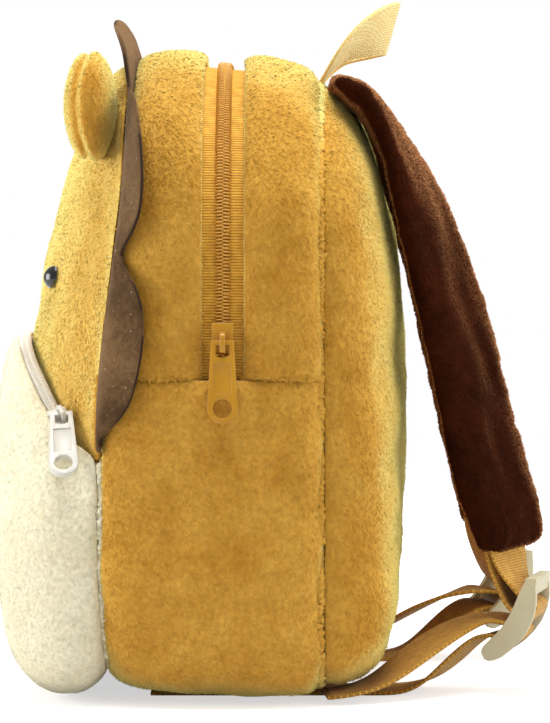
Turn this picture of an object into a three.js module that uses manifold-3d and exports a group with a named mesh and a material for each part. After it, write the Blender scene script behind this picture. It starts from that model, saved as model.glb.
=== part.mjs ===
// A toddler's plush lion backpack, standing on the floor on its pocket, its bottom and its strap tails.
// Millimetres, +Z up. The face looks along -Y, the shoulder straps hang at +Y, the wearer's right is +X.
import * as THREE from 'three';
import { mergeVertices } from 'three/addons/utils/BufferGeometryUtils.js';
import Module from 'manifold-3d';

const wasm = await Module();
wasm.setup();

// Driving dimensions: cloth and gaps
const PLUSH = 3;
const FELT = 2;
const WEB_THICKNESS = 1.6;
const WEB_WIDTH = 25;
const TAPE = 0.8;
const GAP = 0.3;

// The bag's two seam outlines, seen from the front: arches with round bottom corners
const SEAM_HALF_WIDTH = 97;
const TOP_CORNER = 78;
const BOTTOM_CORNER = 26;
const FRONT_SEAM = { bottom: 12, top: 267 };
const BACK_SEAM = { bottom: 4, top: 259.5 };
const BACK_SEAM_Y = 45.5;
const CROSS_SEAM_HEIGHT = 134;
const CROSS_SEAM_PINCH = 4;
const POCKET_SHOULDER = 98.5;
const BOTTOM_CLEARANCE = 2;
const FRONT_SEAM_PLACE = [
  { height: 12, y: -43 },
  { height: 60, y: -45.5 },
  { height: 117, y: -45.5 },
  { height: 182, y: -38.5 },
  { height: 206, y: -35.5 },
  { height: 267, y: -33 },
];

// How far each panel stands out from its seam, and how soon
const PANEL_RINGS = [0.22, 0.48, 0.7, 0.86, 0.95, 1];
const PANEL_MIDDLE_HEIGHT = 135;
const FACE = { bulge: 35.5, power: 3, root: 0.6, ridge: 0.9 };
const BACK_TOP = { bulge: 36.6, power: 2, root: 0.57 };
const BACK_BOTTOM = { bulge: 36.6, power: 2.2, root: 0.19 };
const TUCK_BEHIND_POCKET = PLUSH + 2 * GAP;
const TUCK_AT_SHOULDER = PLUSH + 8 * GAP;

// The gusset's puffed sections, from the front seam to the back one, and from a seam to the zip
const GUSSET_SECTION = [
  { across: 0, puff: 0 },
  { across: 0.06, puff: 3.8 },
  { across: 0.2, puff: 6.6 },
  { across: 0.5, puff: 7.6 },
  { across: 0.8, puff: 6.6 },
  { across: 0.94, puff: 3.8 },
  { across: 1, puff: 0 },
];
const ZIP_STRIP_SECTION = [
  { across: 0, puff: 0 },
  { across: 0.12, puff: 3.4 },
  { across: 0.32, puff: 5.8 },
  { across: 0.6, puff: 7.2 },
  { across: 0.84, puff: 7 },
  { across: 0.95, puff: 5.9 },
  { across: 1, puff: 4.6 },
];
const CROSS_SEAM_SHARE = 0.87;

// The main zip: its line over the gusset, and its levels above the line between the seams
const ZIP_Y = 5;
const ZIP_SLOT_HALF = 8.4;
const ZIP_TAPE_HALF = 12;
const ZIP_TAPE_LEVEL = 0.6;
const ZIP_CHAIN = { width: 5.8, thickness: 2.3 };
const ZIP_HINGE_HEIGHT = 149;
const ZIP_PULL_LEAN = 6;

// The pocket: its arch over the face, its section from the rim to the middle, and its overhang
const POCKET_APEX = { y: -93.6, z: 84 };
const POCKET_ARCH = [
  { across: 0, height: 150 },
  { across: 13, height: 149 },
  { across: 27, height: 145 },
  { across: 42, height: 138 },
  { across: 55, height: 130 },
  { across: 66, height: 121 },
  { across: 75, height: 114 },
  { across: 84, height: 108.5 },
  { across: 91, height: 104.5 },
  { across: 97, height: POCKET_SHOULDER },
];
const POCKET_SECTION = [
  { reach: 1, rise: 0, spread: 0 },
  { reach: 0.995, rise: 0.12, spread: 0.6 },
  { reach: 0.965, rise: 0.33, spread: 1 },
  { reach: 0.92, rise: 0.53, spread: 1 },
  { reach: 0.85, rise: 0.72, spread: 0.9 },
  { reach: 0.74, rise: 0.86, spread: 0.7 },
  { reach: 0.55, rise: 0.955, spread: 0.35 },
  { reach: 0.28, rise: 0.995, spread: 0.1 },
];
const POCKET_SHOULDER_DROP = -5.5;
const POCKET_OVERHANG = [
  { height: 12, spread: 15 },
  { height: 22, spread: 11 },
  { height: 40, spread: 4 },
  { height: 75, spread: 2 },
  { height: POCKET_SHOULDER, spread: POCKET_SHOULDER_DROP },
];
const POCKET_ZIP = { band: 7, seat: 1.1, chainWidth: 4.6, chainThickness: 1.8, ends: 112, fades: 104 };
const POCKET_SLIDER_ACROSS = 72.5;
const POCKET_SLIDER_SCALE = 0.85;
const POCKET_PULL = { lean: 44, sway: 5 };

// The mane: scallops along the front seam, measured from the top, and how each leans from the radial
const SCALLOP = { pitch: 73.5, depth: 21, count: 3, columns: 7 };
const MANE_END = 226;
const MANE_TAIL = 4;
const MANE_ROOT = 2.5;
const MANE_BEND = 5;
const MANE_LEAN = [
  { along: 0, lean: -12 },
  { along: 37, lean: -30 },
  { along: 60, lean: -14 },
  { along: 76, lean: 4 },
  { along: 110, lean: 26 },
  { along: 147, lean: 44 },
  { along: 180, lean: 67 },
  { along: 226, lean: 64 },
];

// Ears and eyes
const EAR = { across: 76, y: -49.5, z: 245, halfWidth: 26, halfDepth: 10.5, halfHeight: 23.5 };
const EYE = { across: 40, z: 174.5, radius: 5.6, sink: 1.4 };

// Shoulder pads: the middle of the padding from the back seam to the webbing, and each side's turn from flat
const PAD = { halfWidth: 26, halfThickness: 6.4, rings: 16, sides: 12 };
const PAD_ROUTE = [
  { x: 41, y: 49.5, z: 256.6, right: 0, left: 0, width: 0.82, thickness: 0.5 },
  { x: 41, y: 55.5, z: 254.2, right: 0, left: 0, width: 0.95, thickness: 0.8 },
  { x: 41.5, y: 64, z: 248.2, right: 2, left: 2, width: 1, thickness: 0.95 },
  { x: 42, y: 71, z: 240.5, right: 6, left: 5, width: 1, thickness: 1 },
  { x: 42.5, y: 79, z: 226.5, right: 15, left: 10, width: 1, thickness: 1 },
  { x: 43, y: 88, z: 203, right: 29, left: 16, width: 1, thickness: 1 },
  { x: 43.5, y: 99.5, z: 166, right: 34, left: 20, width: 1, thickness: 1 },
  { x: 44, y: 105, z: 143, right: 37, left: 21, width: 1, thickness: 1 },
  { x: 44.5, y: 111, z: 115, right: 40, left: 22, width: 1, thickness: 1 },
  { x: 45, y: 119.2, z: 86.4, right: 42, left: 25, width: 1, thickness: 1 },
  { x: 45.4, y: 125.2, z: 65, right: 42, left: 30, width: 0.98, thickness: 0.95 },
  { x: 45.6, y: 126.2, z: 59.8, right: 42, left: 31, width: 0.9, thickness: 0.7 },
];

// The strap's own plane at the adjuster: an origin, a turn, and the adjuster's arc about that origin
const STRAP_TURN = 16;
const STRAP_ORIGIN = { x: 44.4, y: 100.85, z: 50 };
const LOCK = { radius: 36.9, thickness: 4.6, width: 33, slotWidth: 27, end: 58 };
const LOCK_SLOTS = [
  { from: 10, to: 18 },
  { from: 26, to: 37 },
  { from: 45, to: 51 },
];
const LOCK_BARS = { loop: { from: 18, to: 26 }, web: { from: 37, to: 45 } };
// The adjuster's side rails: how far each stands inside and outside the arc, with rounded ends
const LOCK_RAIL = { inside: 13.8, outside: 17 };
const LOCK_RAILS = [
  { angle: 0.6, below: 1.2, above: 1.8 },
  { angle: 3, below: 2.6, above: 2.1 },
  { angle: 8, below: 3.8, above: 2.6 },
  { angle: 15, below: 4.6, above: 3.6 },
  { angle: 22, below: 4.9, above: 4.3 },
  { angle: 30, below: 4.9, above: 4.7 },
  { angle: 38, below: 4.8, above: 4.7 },
  { angle: 46, below: 4.6, above: 4.5 },
  { angle: 53, below: 4.4, above: 4.2 },
  { angle: 58, below: 3.9, above: 3.6 },
  { angle: 61, below: 3.0, above: 2.7 },
  { angle: 62.6, below: 1.6, above: 1.4 },
];
const LOOP_PAD_Z = 57.6;
const LOOP_RUNS = {
  outer: [
    { out: 24.1, across: 2, z: LOOP_PAD_Z, turn: 42 },
    { out: 25.4, across: 2, z: 52, turn: 33 },
    { out: 28.2, across: 0.6, z: 46.2, turn: 20 },
  ],
  inner: [
    { out: 26.4, across: 0.2, z: 36.9, turn: STRAP_TURN },
    { out: 23.8, across: 0.8, z: 42.2, turn: 21 },
    { out: 22.4, across: 2, z: 50, turn: 31 },
    { out: 21.5, across: 2, z: LOOP_PAD_Z, turn: 42 },
  ],
};

// The webbing from the bag's bottom corner up to the adjuster, and its tail down and under the bag:
// turn swings its width about the upright, roll is the rise across its width towards the inner edge
const WEB_UP = [
  { x: 74, y: 46.6, z: 2.9, turn: 0, roll: 0 },
  { x: 73.5, y: 54, z: 3.4, turn: 0, roll: 0 },
  { x: 71, y: 64, z: 5.4, turn: 1, roll: 0.06 },
  { x: 68.5, y: 71, z: 8.4, turn: 2, roll: 0.16 },
  { x: 65, y: 78, z: 13, turn: 4, roll: 0.26 },
  { x: 57.5, y: 91, z: 21.6, turn: 8, roll: 0.3 },
  { x: 51, y: 104, z: 28.4, turn: 13, roll: 0.22 },
  { x: 48.6, y: 115.4, z: 32, turn: STRAP_TURN, roll: 0.06 },
];
const WEB_DOWN = [
  { x: 48.3, y: 114.4, z: 24.6, turn: STRAP_TURN, roll: -0.06 },
  { x: 48.4, y: 106, z: 17.6, turn: 13, roll: -0.24 },
  { x: 48.4, y: 97, z: 9.4, turn: 8, roll: -0.26 },
  { x: 48.4, y: 88, z: 3.4, turn: 3, roll: -0.12 },
  { x: 48.5, y: 80, z: 0.8, turn: 0, roll: 0 },
  { x: 48.5, y: 68, z: 0.8, turn: 0, roll: 0 },
  { x: 48.5, y: 40, z: 0.8, turn: 0, roll: 0 },
  { x: 48.5, y: 8, z: 0.8, turn: 0, roll: 0 },
  { x: 48.5, y: -26, z: 0.8, turn: 0, roll: 0 },
];

// The hang loop: the middle of its webbing from one end to the top of the loop, and its width's turn
const HANDLE = { width: 24, rings: 29 };
const HANDLE_ROUTE = [
  { x: 21, y: 46.6, z: 259.4, turn: 0 },
  { x: 21.5, y: 51, z: 265.4, turn: 12 },
  { x: 21, y: 57.5, z: 272.4, turn: 30 },
  { x: 17.5, y: 65.5, z: 278, turn: 52 },
  { x: 10, y: 73.4, z: 281.6, turn: 72 },
  { x: 0, y: 77, z: 282.6, turn: 90 },
];

// The whole object's box is centred on the origin, seen from above
const BOX_MIDDLE_Y = 24.75;

// Finishes
const finish = (color, roughness) => new THREE.MeshStandardMaterial({ color, roughness, metalness: 0 });
const MUSTARD_PLUSH = finish('#cf9a35', 0.95);
const BROWN_PLUSH = finish('#52301d', 0.95);
const CREAM_PLUSH = finish('#efe8d2', 0.95);
const BROWN_FELT = finish('#6d4f3d', 1);
const MUSTARD_WEB = finish('#cf9433', 0.8);
const MUSTARD_ZIP = finish('#c58a22', 0.55);
const WHITE_ZIP = finish('#efefea', 0.5);
const TAN_PLASTIC = finish('#b9aa83', 0.45);
const BLACK_EYE = finish('#0d0c0d', 0.12);

const bag = new THREE.Group();
bag.position.y = -BOX_MIDDLE_Y;

function add(name, geometry, material) {
  const mesh = new THREE.Mesh(geometry, material);
  mesh.name = name;
  bag.add(mesh);
  return mesh;
}

const { lerp, degToRad, smoothstep } = THREE.MathUtils;
const at = (x, y, z) => new THREE.Vector3(x, y, z);

// Reads one column of a table as a smooth curve that never overshoots its rows
function read(table, key, column, value) {
  const last = table.length - 2;
  const found = table.findIndex((row) => row[key] > value);
  const i = Math.min(Math.max(found - 1, found < 0 ? last : 0), last);
  const slope = (n) => (table[n + 1][column] - table[n][column]) / (table[n + 1][key] - table[n][key]);
  const ease = (a, b) => (a * b > 0 ? (2 * a * b) / (a + b) : 0);
  const step = table[i + 1][key] - table[i][key];
  const t = THREE.MathUtils.clamp((value - table[i][key]) / step, 0, 1);
  const here = slope(i);
  const enter = i === 0 ? here : ease(slope(i - 1), here);
  const leave = i === last ? here : ease(here, slope(i + 1));
  const start = table[i][column];
  const rise = table[i + 1][column] - start;
  const bend = step * (enter * t * (1 - t) ** 2 - leave * t * t * (1 - t));
  return start + rise * t * t * (3 - 2 * t) + bend;
}

// Makes a closed geometry of points and triangles, turned so that its faces point out
function geometryOf(points, triangles) {
  let volume = 0;
  const normal = at(0, 0, 0);
  for (let i = 0; i < triangles.length; i += 3) {
    normal.crossVectors(points[triangles[i]], points[triangles[i + 1]]);
    volume += normal.dot(points[triangles[i + 2]]);
  }
  const geometry = new THREE.BufferGeometry().setFromPoints(points);
  geometry.setIndex(volume < 0 ? triangles.toReversed() : triangles);
  return geometry;
}

// Lists the triangles between the rows of a grid of point numbers; a first row of one point is a crown
function rowsOfTriangles(grid, around) {
  const triangles = [];
  for (let r = 0; r + 1 < grid.length; r += 1) {
    const upper = grid[r];
    const lower = grid[r + 1];
    const count = around ? lower.length : lower.length - 1;
    for (let c = 0; c < count; c += 1) {
      const d = (c + 1) % lower.length;
      triangles.push(upper[upper.length === 1 ? 0 : c], lower[c], lower[d]);
      if (upper.length > 1) {
        triangles.push(upper[c], lower[d], upper[d]);
      }
    }
  }
  return triangles;
}

// Numbers the points of a grid row by row
function number(grid, points) {
  return grid.map((row) => row.map((point) => points.push(point) - 1));
}

// Closes two matching grids into one wall with square rims
function wall(outer, inner, around) {
  const points = [];
  const top = number(outer, points);
  const under = number(inner, points);
  const last = top.length - 1;
  const ends = [[under[last], top[last]]];
  if (top[0].length > 1) {
    ends.push([top[0], under[0]]);
  }
  if (!around) {
    const side = (grid, c) => grid.map((row) => row[c]);
    const edge = top[last].length - 1;
    ends.push([side(under, 0), side(top, 0)]);
    ends.push([side(top, edge), side(under, edge)]);
  }
  const triangles = [
    ...rowsOfTriangles(top, around),
    ...rowsOfTriangles(under, around).toReversed(),
  ];
  ends.forEach(([near, far], n) => {
    triangles.push(...rowsOfTriangles([near, far], around && n < 2).toReversed());
  });
  return geometryOf(points, triangles);
}

// Closes a row of matching rings into one solid with a flat end at each side
function loft(rings) {
  const points = [];
  const grid = number(rings, points);
  const triangles = rowsOfTriangles(grid, true);
  for (const ring of [grid[0], grid.at(-1).toReversed()]) {
    const middle = at(0, 0, 0);
    ring.forEach((i) => middle.addScaledVector(points[i], 1 / ring.length));
    triangles.push(...rowsOfTriangles([[points.push(middle) - 1], ring], true));
  }
  return geometryOf(points, triangles);
}

// Finds the outward normals of a grid's surface, on the side of a given direction at its first point
function normals(grid, around, outward) {
  const points = [];
  const numbers = number(grid, points);
  const skin = new THREE.BufferGeometry().setFromPoints(points);
  skin.setIndex(rowsOfTriangles(numbers, around));
  skin.computeVertexNormals();
  const list = points.map((_, i) => at(0, 0, 0).fromBufferAttribute(skin.attributes.normal, i));
  const sign = Math.sign(list[0].dot(outward));
  return numbers.map((row) => row.map((i) => list[i].multiplyScalar(sign)));
}

// Joins and cuts
function solid(geometry) {
  const bare = geometry.clone();
  bare.deleteAttribute('normal');
  bare.deleteAttribute('uv');
  const merged = mergeVertices(bare);
  const vertProperties = Float32Array.from(merged.attributes.position.array);
  const triVerts = Uint32Array.from(merged.index.array);
  return new wasm.Manifold(new wasm.Mesh({ numProp: 3, vertProperties, triVerts }));
}

function shape(body) {
  const mesh = body.getMesh();
  const geometry = new THREE.BufferGeometry();
  geometry.setAttribute('position', new THREE.BufferAttribute(mesh.vertProperties, 3));
  geometry.setIndex(new THREE.BufferAttribute(mesh.triVerts, 1));
  return geometry;
}

// One seam outline from the bottom centre up the right side to the top centre, then mirrored
function outline({ bottom, top }) {
  const low = SEAM_HALF_WIDTH - BOTTOM_CORNER;
  const high = SEAM_HALF_WIDTH - TOP_CORNER;
  const corner = bottom + BOTTOM_CORNER;
  const shoulder = top - TOP_CORNER;
  const belowCross = CROSS_SEAM_HEIGHT - CROSS_SEAM_PINCH;
  const aboveCross = CROSS_SEAM_HEIGHT + CROSS_SEAM_PINCH;
  const stretches = [
    { steps: 3, from: [0, corner], to: [low, corner], radius: BOTTOM_CORNER, turn: [-90, -90] },
    { steps: 4, from: [low, corner], to: [low, corner], radius: BOTTOM_CORNER, turn: [-90, 0] },
    { steps: 3, from: [low, corner], to: [low, POCKET_SHOULDER], radius: BOTTOM_CORNER, turn: [0, 0] },
    { steps: 2, from: [low, POCKET_SHOULDER], to: [low, belowCross], radius: BOTTOM_CORNER, turn: [0, 0] },
    { steps: 1, from: [low, belowCross], to: [low, CROSS_SEAM_HEIGHT], radius: BOTTOM_CORNER, turn: [0, 0] },
    { steps: 1, from: [high, CROSS_SEAM_HEIGHT], to: [high, aboveCross], radius: TOP_CORNER, turn: [0, 0] },
    { steps: 2, from: [high, aboveCross], to: [high, shoulder], radius: TOP_CORNER, turn: [0, 0] },
    { steps: 7, from: [high, shoulder], to: [high, shoulder], radius: TOP_CORNER, turn: [0, 90] },
    { steps: 1, from: [high, shoulder], to: [0, shoulder], radius: TOP_CORNER, turn: [90, 90] },
  ];
  const half = [];
  for (const { steps, from, to, radius, turn } of stretches) {
    for (let i = half.length ? 1 : 0; i <= steps; i += 1) {
      const t = i / steps;
      const angle = degToRad(lerp(turn[0], turn[1], t));
      const out = at(Math.cos(angle), 0, Math.sin(angle));
      const x = lerp(from[0], to[0], t) + radius * out.x;
      half.push({ x, z: lerp(from[1], to[1], t) + radius * out.z, out });
    }
  }
  const mirrored = half.slice(1, -1).toReversed();
  return [...half, ...mirrored.map(({ x, z, out }) => ({ x: -x, z, out: at(-out.x, 0, out.z) }))];
}

// Places along the half outline, counted from the bottom centre
const SHOULDER_STATION = 10;
const CROSS_STATION = 13;
const TOP_STATION = 24;
const front = outline(FRONT_SEAM);
const back = outline(BACK_SEAM);
const frontSeamY = (z) => read(FRONT_SEAM_PLACE, 'height', 'y', z);
const station = (i) => (i + front.length) % front.length;
const fromBottom = (i) => Math.min(i, front.length - i);
const hasMane = (i) => fromBottom(i) >= SHOULDER_STATION;

// The half gap at the front seam is wider where the felt of the mane lies in it
const frontSeamHalfGap = (i) => (hasMane(i) ? FELT / 2 + GAP : GAP / 2);

// The share of the way from the panel's middle to the front seam
function reachOnFront(x, z) {
  const rise = z - PANEL_MIDDLE_HEIGHT;
  let reach = 0;
  front.forEach((a, i) => {
    const b = front[station(i + 1)];
    const az = a.z - PANEL_MIDDLE_HEIGHT;
    const bz = b.z - PANEL_MIDDLE_HEIGHT;
    const area = a.x * bz - az * b.x;
    const first = (x * bz - rise * b.x) / area;
    const second = (a.x * rise - az * x) / area;
    if (first >= 0 && second >= 0) {
      reach = first + second;
    }
  });
  return reach;
}

// A panel's outer surface in rings from its middle to its rim
function panelRows(rim, middle, surface) {
  const rows = [[at(0, surface(0, middle, 0), middle)]];
  for (const reach of PANEL_RINGS) {
    rows.push(rim.map((p) => {
      const x = p.x * reach;
      const z = lerp(middle, p.z, reach);
      return at(x, reach === 1 ? p.y : surface(x, z, reach), z);
    }));
  }
  return rows;
}

// The wall under a panel: along the surface's normal inside, square to the seam at the rim
function panelWall(rows, rim, outward, thickness) {
  const out = normals(rows, true, outward);
  const inner = rows.map((row, r) => row.map((point, c) => {
    const way = r === rows.length - 1 ? rim[c].out : out[r][c];
    return point.clone().addScaledVector(way, -thickness);
  }));
  return wall(rows, inner, true);
}

// A panel grown by the gap and filled to a flat back, to seat other pieces on it
function panelCutter(rows, outward, depth) {
  const out = normals(rows, true, outward);
  const grown = rows.map((row, r) => row.map((point, c) => point.clone().addScaledVector(out[r][c], GAP)));
  const flat = grown.map((row) => row.map(({ x, z }) => at(x, depth, z)));
  return solid(wall(grown, flat, true));
}

// Face panel
const FRONT_WAY = at(0, -1, 0);
const BACK_WAY = at(0, 1, 0);

function faceY(x, z, reach = reachOnFront(x, z)) {
  const crown = (1 - Math.min(reach, 1) ** FACE.power) ** FACE.root;
  const ridge = 1 - FACE.ridge * (x / SEAM_HALF_WIDTH) ** 2;
  return frontSeamY(z) - FACE.bulge * crown * ridge;
}

const faceRim = front.map(({ x, z, out }, i) => {
  const below = fromBottom(i) < SHOULDER_STATION ? TUCK_BEHIND_POCKET : 0;
  const tuck = fromBottom(i) === SHOULDER_STATION ? TUCK_AT_SHOULDER : below;
  return { x: x - tuck * out.x, z: z - tuck * out.z, y: frontSeamY(z) - frontSeamHalfGap(i), out };
});
const faceRows = panelRows(faceRim, PANEL_MIDDLE_HEIGHT, faceY);
add('front_panel', panelWall(faceRows, faceRim, FRONT_WAY, PLUSH), MUSTARD_PLUSH);
const faceCutter = panelCutter(faceRows, FRONT_WAY, 0);

// Back panel: slack at the top, full at the bottom
function backY(x, z, reach) {
  const puff = ({ bulge, power, root }) => bulge * (1 - reach ** power) ** root;
  const rise = z - PANEL_MIDDLE_HEIGHT;
  const up = 0.5 + 0.5 * (rise / Math.max(Math.hypot(x, rise), 1));
  return BACK_SEAM_Y + lerp(puff(BACK_BOTTOM), puff(BACK_TOP), up);
}

const backRim = back.map(({ x, z, out }) => ({ x, z, y: BACK_SEAM_Y + GAP / 2, out }));
const backRows = panelRows(backRim, PANEL_MIDDLE_HEIGHT, backY);
add('back_panel', panelWall(backRows, backRim, BACK_WAY, PLUSH), MUSTARD_PLUSH);
const backCutter = panelCutter(backRows, BACK_WAY, 0);

// A point of the gusset at a station, at a depth y, standing out by puff from the line between the seams
function gussetPoint(i, y, puff) {
  const f = front[station(i)];
  const b = back[station(i)];
  const frontY = frontSeamY(f.z);
  const t = (y - frontY) / (BACK_SEAM_Y - frontY);
  const x = lerp(f.x, b.x, t) + puff * f.out.x;
  const z = lerp(f.z, b.z, t) + puff * f.out.z;
  return at(x, y, Math.max(z, BOTTOM_CLEARANCE));
}

const gussetFrontY = (i) => frontSeamY(front[station(i)].z) + frontSeamHalfGap(station(i));
const gussetBackY = BACK_SEAM_Y - GAP / 2;

// A strip of the gusset between two stations; its ends keep half a gap from the cross seams
function gussetStrip(first, last, section, fromY, toY) {
  const inward = first < 0 ? -1 : 1;
  const outer = [];
  const inner = [];
  for (let i = first; i <= last; i += 1) {
    const atEnd = i === first || i === last;
    const share = atEnd ? CROSS_SEAM_SHARE : 1;
    const shift = atEnd ? (inward * GAP) / 2 : 0;
    const out = front[station(i)].out;
    const row = section.map(({ across, puff }) => {
      const point = gussetPoint(i, lerp(fromY(i), toY(i), across), puff * share);
      point.z += shift;
      return point;
    });
    outer.push(row);
    inner.push(row.map((point) => point.clone().addScaledVector(out, -PLUSH)));
  }
  return wall(outer, inner, false);
}

const CROSS_LEFT = front.length - CROSS_STATION;
const backEdge = () => gussetBackY;
const lowerGusset = gussetStrip(-CROSS_STATION, CROSS_STATION, GUSSET_SECTION, gussetFrontY, backEdge);
add('gusset_lower', lowerGusset, MUSTARD_PLUSH);
const zipEdge = (side) => () => ZIP_Y + side * ZIP_SLOT_HALF;
function upperStrip(fromY, side) {
  return gussetStrip(CROSS_STATION, CROSS_LEFT, ZIP_STRIP_SECTION, fromY, zipEdge(side));
}

add('gusset_upper_front', upperStrip(gussetFrontY, -1), MUSTARD_PLUSH);
add('gusset_upper_back', upperStrip(backEdge, 1), MUSTARD_PLUSH);

// A flat band along the main zip's line, between two depths and two levels
function zipBand(fromY, toY, low, high) {
  const level = (puff) => {
    const rows = [];
    for (let i = CROSS_STATION; i <= CROSS_LEFT; i += 1) {
      const shift = i === CROSS_STATION || i === CROSS_LEFT ? GAP / 2 : 0;
      rows.push([fromY, toY].map((y) => gussetPoint(i, y, puff).add(at(0, 0, shift))));
    }
    return rows;
  };
  return wall(level(high), level(low), false);
}

const tapeLow = ZIP_TAPE_LEVEL - TAPE;
const chainLow = ZIP_TAPE_LEVEL + GAP;
const chainTop = chainLow + ZIP_CHAIN.thickness;
const chainHalf = ZIP_CHAIN.width / 2;
add('zip_tape_front', zipBand(ZIP_Y - ZIP_TAPE_HALF, ZIP_Y - GAP / 2, tapeLow, ZIP_TAPE_LEVEL), MUSTARD_ZIP);
add('zip_tape_back', zipBand(ZIP_Y + GAP / 2, ZIP_Y + ZIP_TAPE_HALF, tapeLow, ZIP_TAPE_LEVEL), MUSTARD_ZIP);
add('zip_chain', zipBand(ZIP_Y - chainHalf, ZIP_Y + chainHalf, chainLow, chainTop), MUSTARD_ZIP);

// A zip slider in its own frame: x along the chain, y across it, z away from it, and its pull's hinge
const SLIDER = {
  length: 12, width: 9, thickness: 2.3, bail: 8, wire: 1.7, bailWidth: 2.2, room: 4.4, offset: -2,
};
const HINGE_ABOVE_CHAIN = GAP + SLIDER.thickness + SLIDER.room / 2;

function sliderGeometry() {
  const { length, width, thickness, bail, wire, bailWidth, room, offset } = SLIDER;
  const plate = new THREE.Shape();
  plate.moveTo(-length / 2, -width / 2 + 1.5);
  plate.quadraticCurveTo(-length / 2, -width / 2, -length / 2 + 2, -width / 2 + 0.5);
  plate.lineTo(length / 2, -width / 2);
  plate.lineTo(length / 2, width / 2);
  plate.lineTo(-length / 2 + 2, width / 2 - 0.5);
  plate.quadraticCurveTo(-length / 2, width / 2, -length / 2, width / 2 - 1.5);
  const body = new THREE.ExtrudeGeometry(plate, { depth: thickness, bevelEnabled: false, curveSegments: 3 });
  body.translate(0, 0, GAP);
  const arch = new THREE.Shape();
  const floor = GAP + thickness / 2;
  const crown = GAP + thickness + room + wire;
  arch.moveTo(-bail / 2, floor);
  arch.lineTo(bail / 2, floor);
  arch.lineTo(bail / 2, crown - 2);
  arch.quadraticCurveTo(bail / 2, crown, bail / 2 - 2, crown);
  arch.lineTo(-bail / 2 + 2, crown);
  arch.quadraticCurveTo(-bail / 2, crown, -bail / 2, crown - 2);
  const opening = new THREE.Path();
  const sill = GAP + thickness;
  opening.moveTo(-bail / 2 + wire, sill);
  opening.lineTo(-bail / 2 + wire, sill + room);
  opening.lineTo(bail / 2 - wire, sill + room);
  opening.lineTo(bail / 2 - wire, sill);
  arch.holes.push(opening);
  const staple = new THREE.ExtrudeGeometry(arch, { depth: bailWidth, bevelEnabled: false, curveSegments: 3 });
  staple.translate(offset, 0, -bailWidth / 2).rotateX(Math.PI / 2);
  return shape(solid(body).add(solid(staple)));
}

// A zip pull hanging along -z from its hinge bar, which lies along y; its faces look along x
const PULL = { top: 1, reach: 26.5, topHalf: 4.6, endRadius: 6.1, thickness: 2.4, ringHole: 3.9 };
const PULL_WINDOW = { half: 2.7, from: -1, to: -6 };
const PULL_RECESS = { half: 3.6, from: -8.4, to: -20.6, depth: 0.5 };

function pullGeometry() {
  const plate = new THREE.Shape();
  plate.moveTo(-PULL.topHalf, PULL.top);
  plate.lineTo(-PULL.endRadius, -PULL.reach);
  plate.absarc(0, -PULL.reach, PULL.endRadius, Math.PI, 2 * Math.PI, false);
  plate.lineTo(PULL.topHalf, PULL.top);
  const window = new THREE.Path();
  window.moveTo(-PULL_WINDOW.half, PULL_WINDOW.from);
  window.lineTo(PULL_WINDOW.half, PULL_WINDOW.from);
  window.lineTo(PULL_WINDOW.half, PULL_WINDOW.to + 1.5);
  window.quadraticCurveTo(PULL_WINDOW.half, PULL_WINDOW.to, 0, PULL_WINDOW.to);
  window.quadraticCurveTo(-PULL_WINDOW.half, PULL_WINDOW.to, -PULL_WINDOW.half, PULL_WINDOW.to + 1.5);
  const ring = new THREE.Path();
  ring.absarc(0, -PULL.reach, PULL.ringHole, 0, 2 * Math.PI, true);
  plate.holes.push(window, ring);
  const cut = { depth: PULL.thickness, bevelEnabled: false, curveSegments: 5 };
  const blank = new THREE.ExtrudeGeometry(plate, cut);
  blank.translate(0, 0, -PULL.thickness / 2);
  const height = PULL_RECESS.from - PULL_RECESS.to;
  const dent = new THREE.BoxGeometry(2 * PULL_RECESS.half, height, 2 * PULL_RECESS.depth);
  dent.translate(0, (PULL_RECESS.from + PULL_RECESS.to) / 2, PULL.thickness / 2);
  const other = dent.clone().translate(0, 0, -PULL.thickness);
  const plateSolid = shape(solid(blank).subtract(solid(dent)).subtract(solid(other)));
  return plateSolid.rotateX(Math.PI / 2).rotateZ(Math.PI / 2);
}

// Main slider and pull, on the right side of the gusset
const zipHinge = at(SEAM_HALF_WIDTH + chainTop + HINGE_ABOVE_CHAIN, ZIP_Y, ZIP_HINGE_HEIGHT);
const zipSlider = add('zip_slider', sliderGeometry(), MUSTARD_ZIP);
zipSlider.position.set(SEAM_HALF_WIDTH + chainTop, ZIP_Y, ZIP_HINGE_HEIGHT - SLIDER.offset);
zipSlider.rotation.set(0, -Math.PI / 2, Math.PI, 'ZYX');
const zipPull = add('zip_pull', pullGeometry(), MUSTARD_ZIP);
zipPull.position.copy(zipHinge);
zipPull.rotation.y = -degToRad(ZIP_PULL_LEAN);

// Pocket rim: the front seam below the shoulders, and an arch over the face above them
const archHeight = (across) => read(POCKET_ARCH, 'across', 'height', across);

function archStation(x) {
  const across = Math.abs(x);
  const step = 0.5;
  const rise = archHeight(Math.min(across + step, SEAM_HALF_WIDTH)) - archHeight(Math.max(across - step, 0));
  const run = Math.min(across + step, SEAM_HALF_WIDTH) - Math.max(across - step, 0);
  const out = across === 0 ? at(0, 0, 1) : at(-rise * Math.sign(x), 0, run).normalize();
  const z = archHeight(across);
  const lift = POCKET_ZIP.band * smoothstep(z, POCKET_ZIP.fades, POCKET_ZIP.ends);
  const spread = POCKET_SHOULDER_DROP * smoothstep(across, POCKET_SLIDER_ACROSS, SEAM_HALF_WIDTH);
  return { x, z, y: faceY(x, z) - GAP, out, lift, spread };
}

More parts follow.
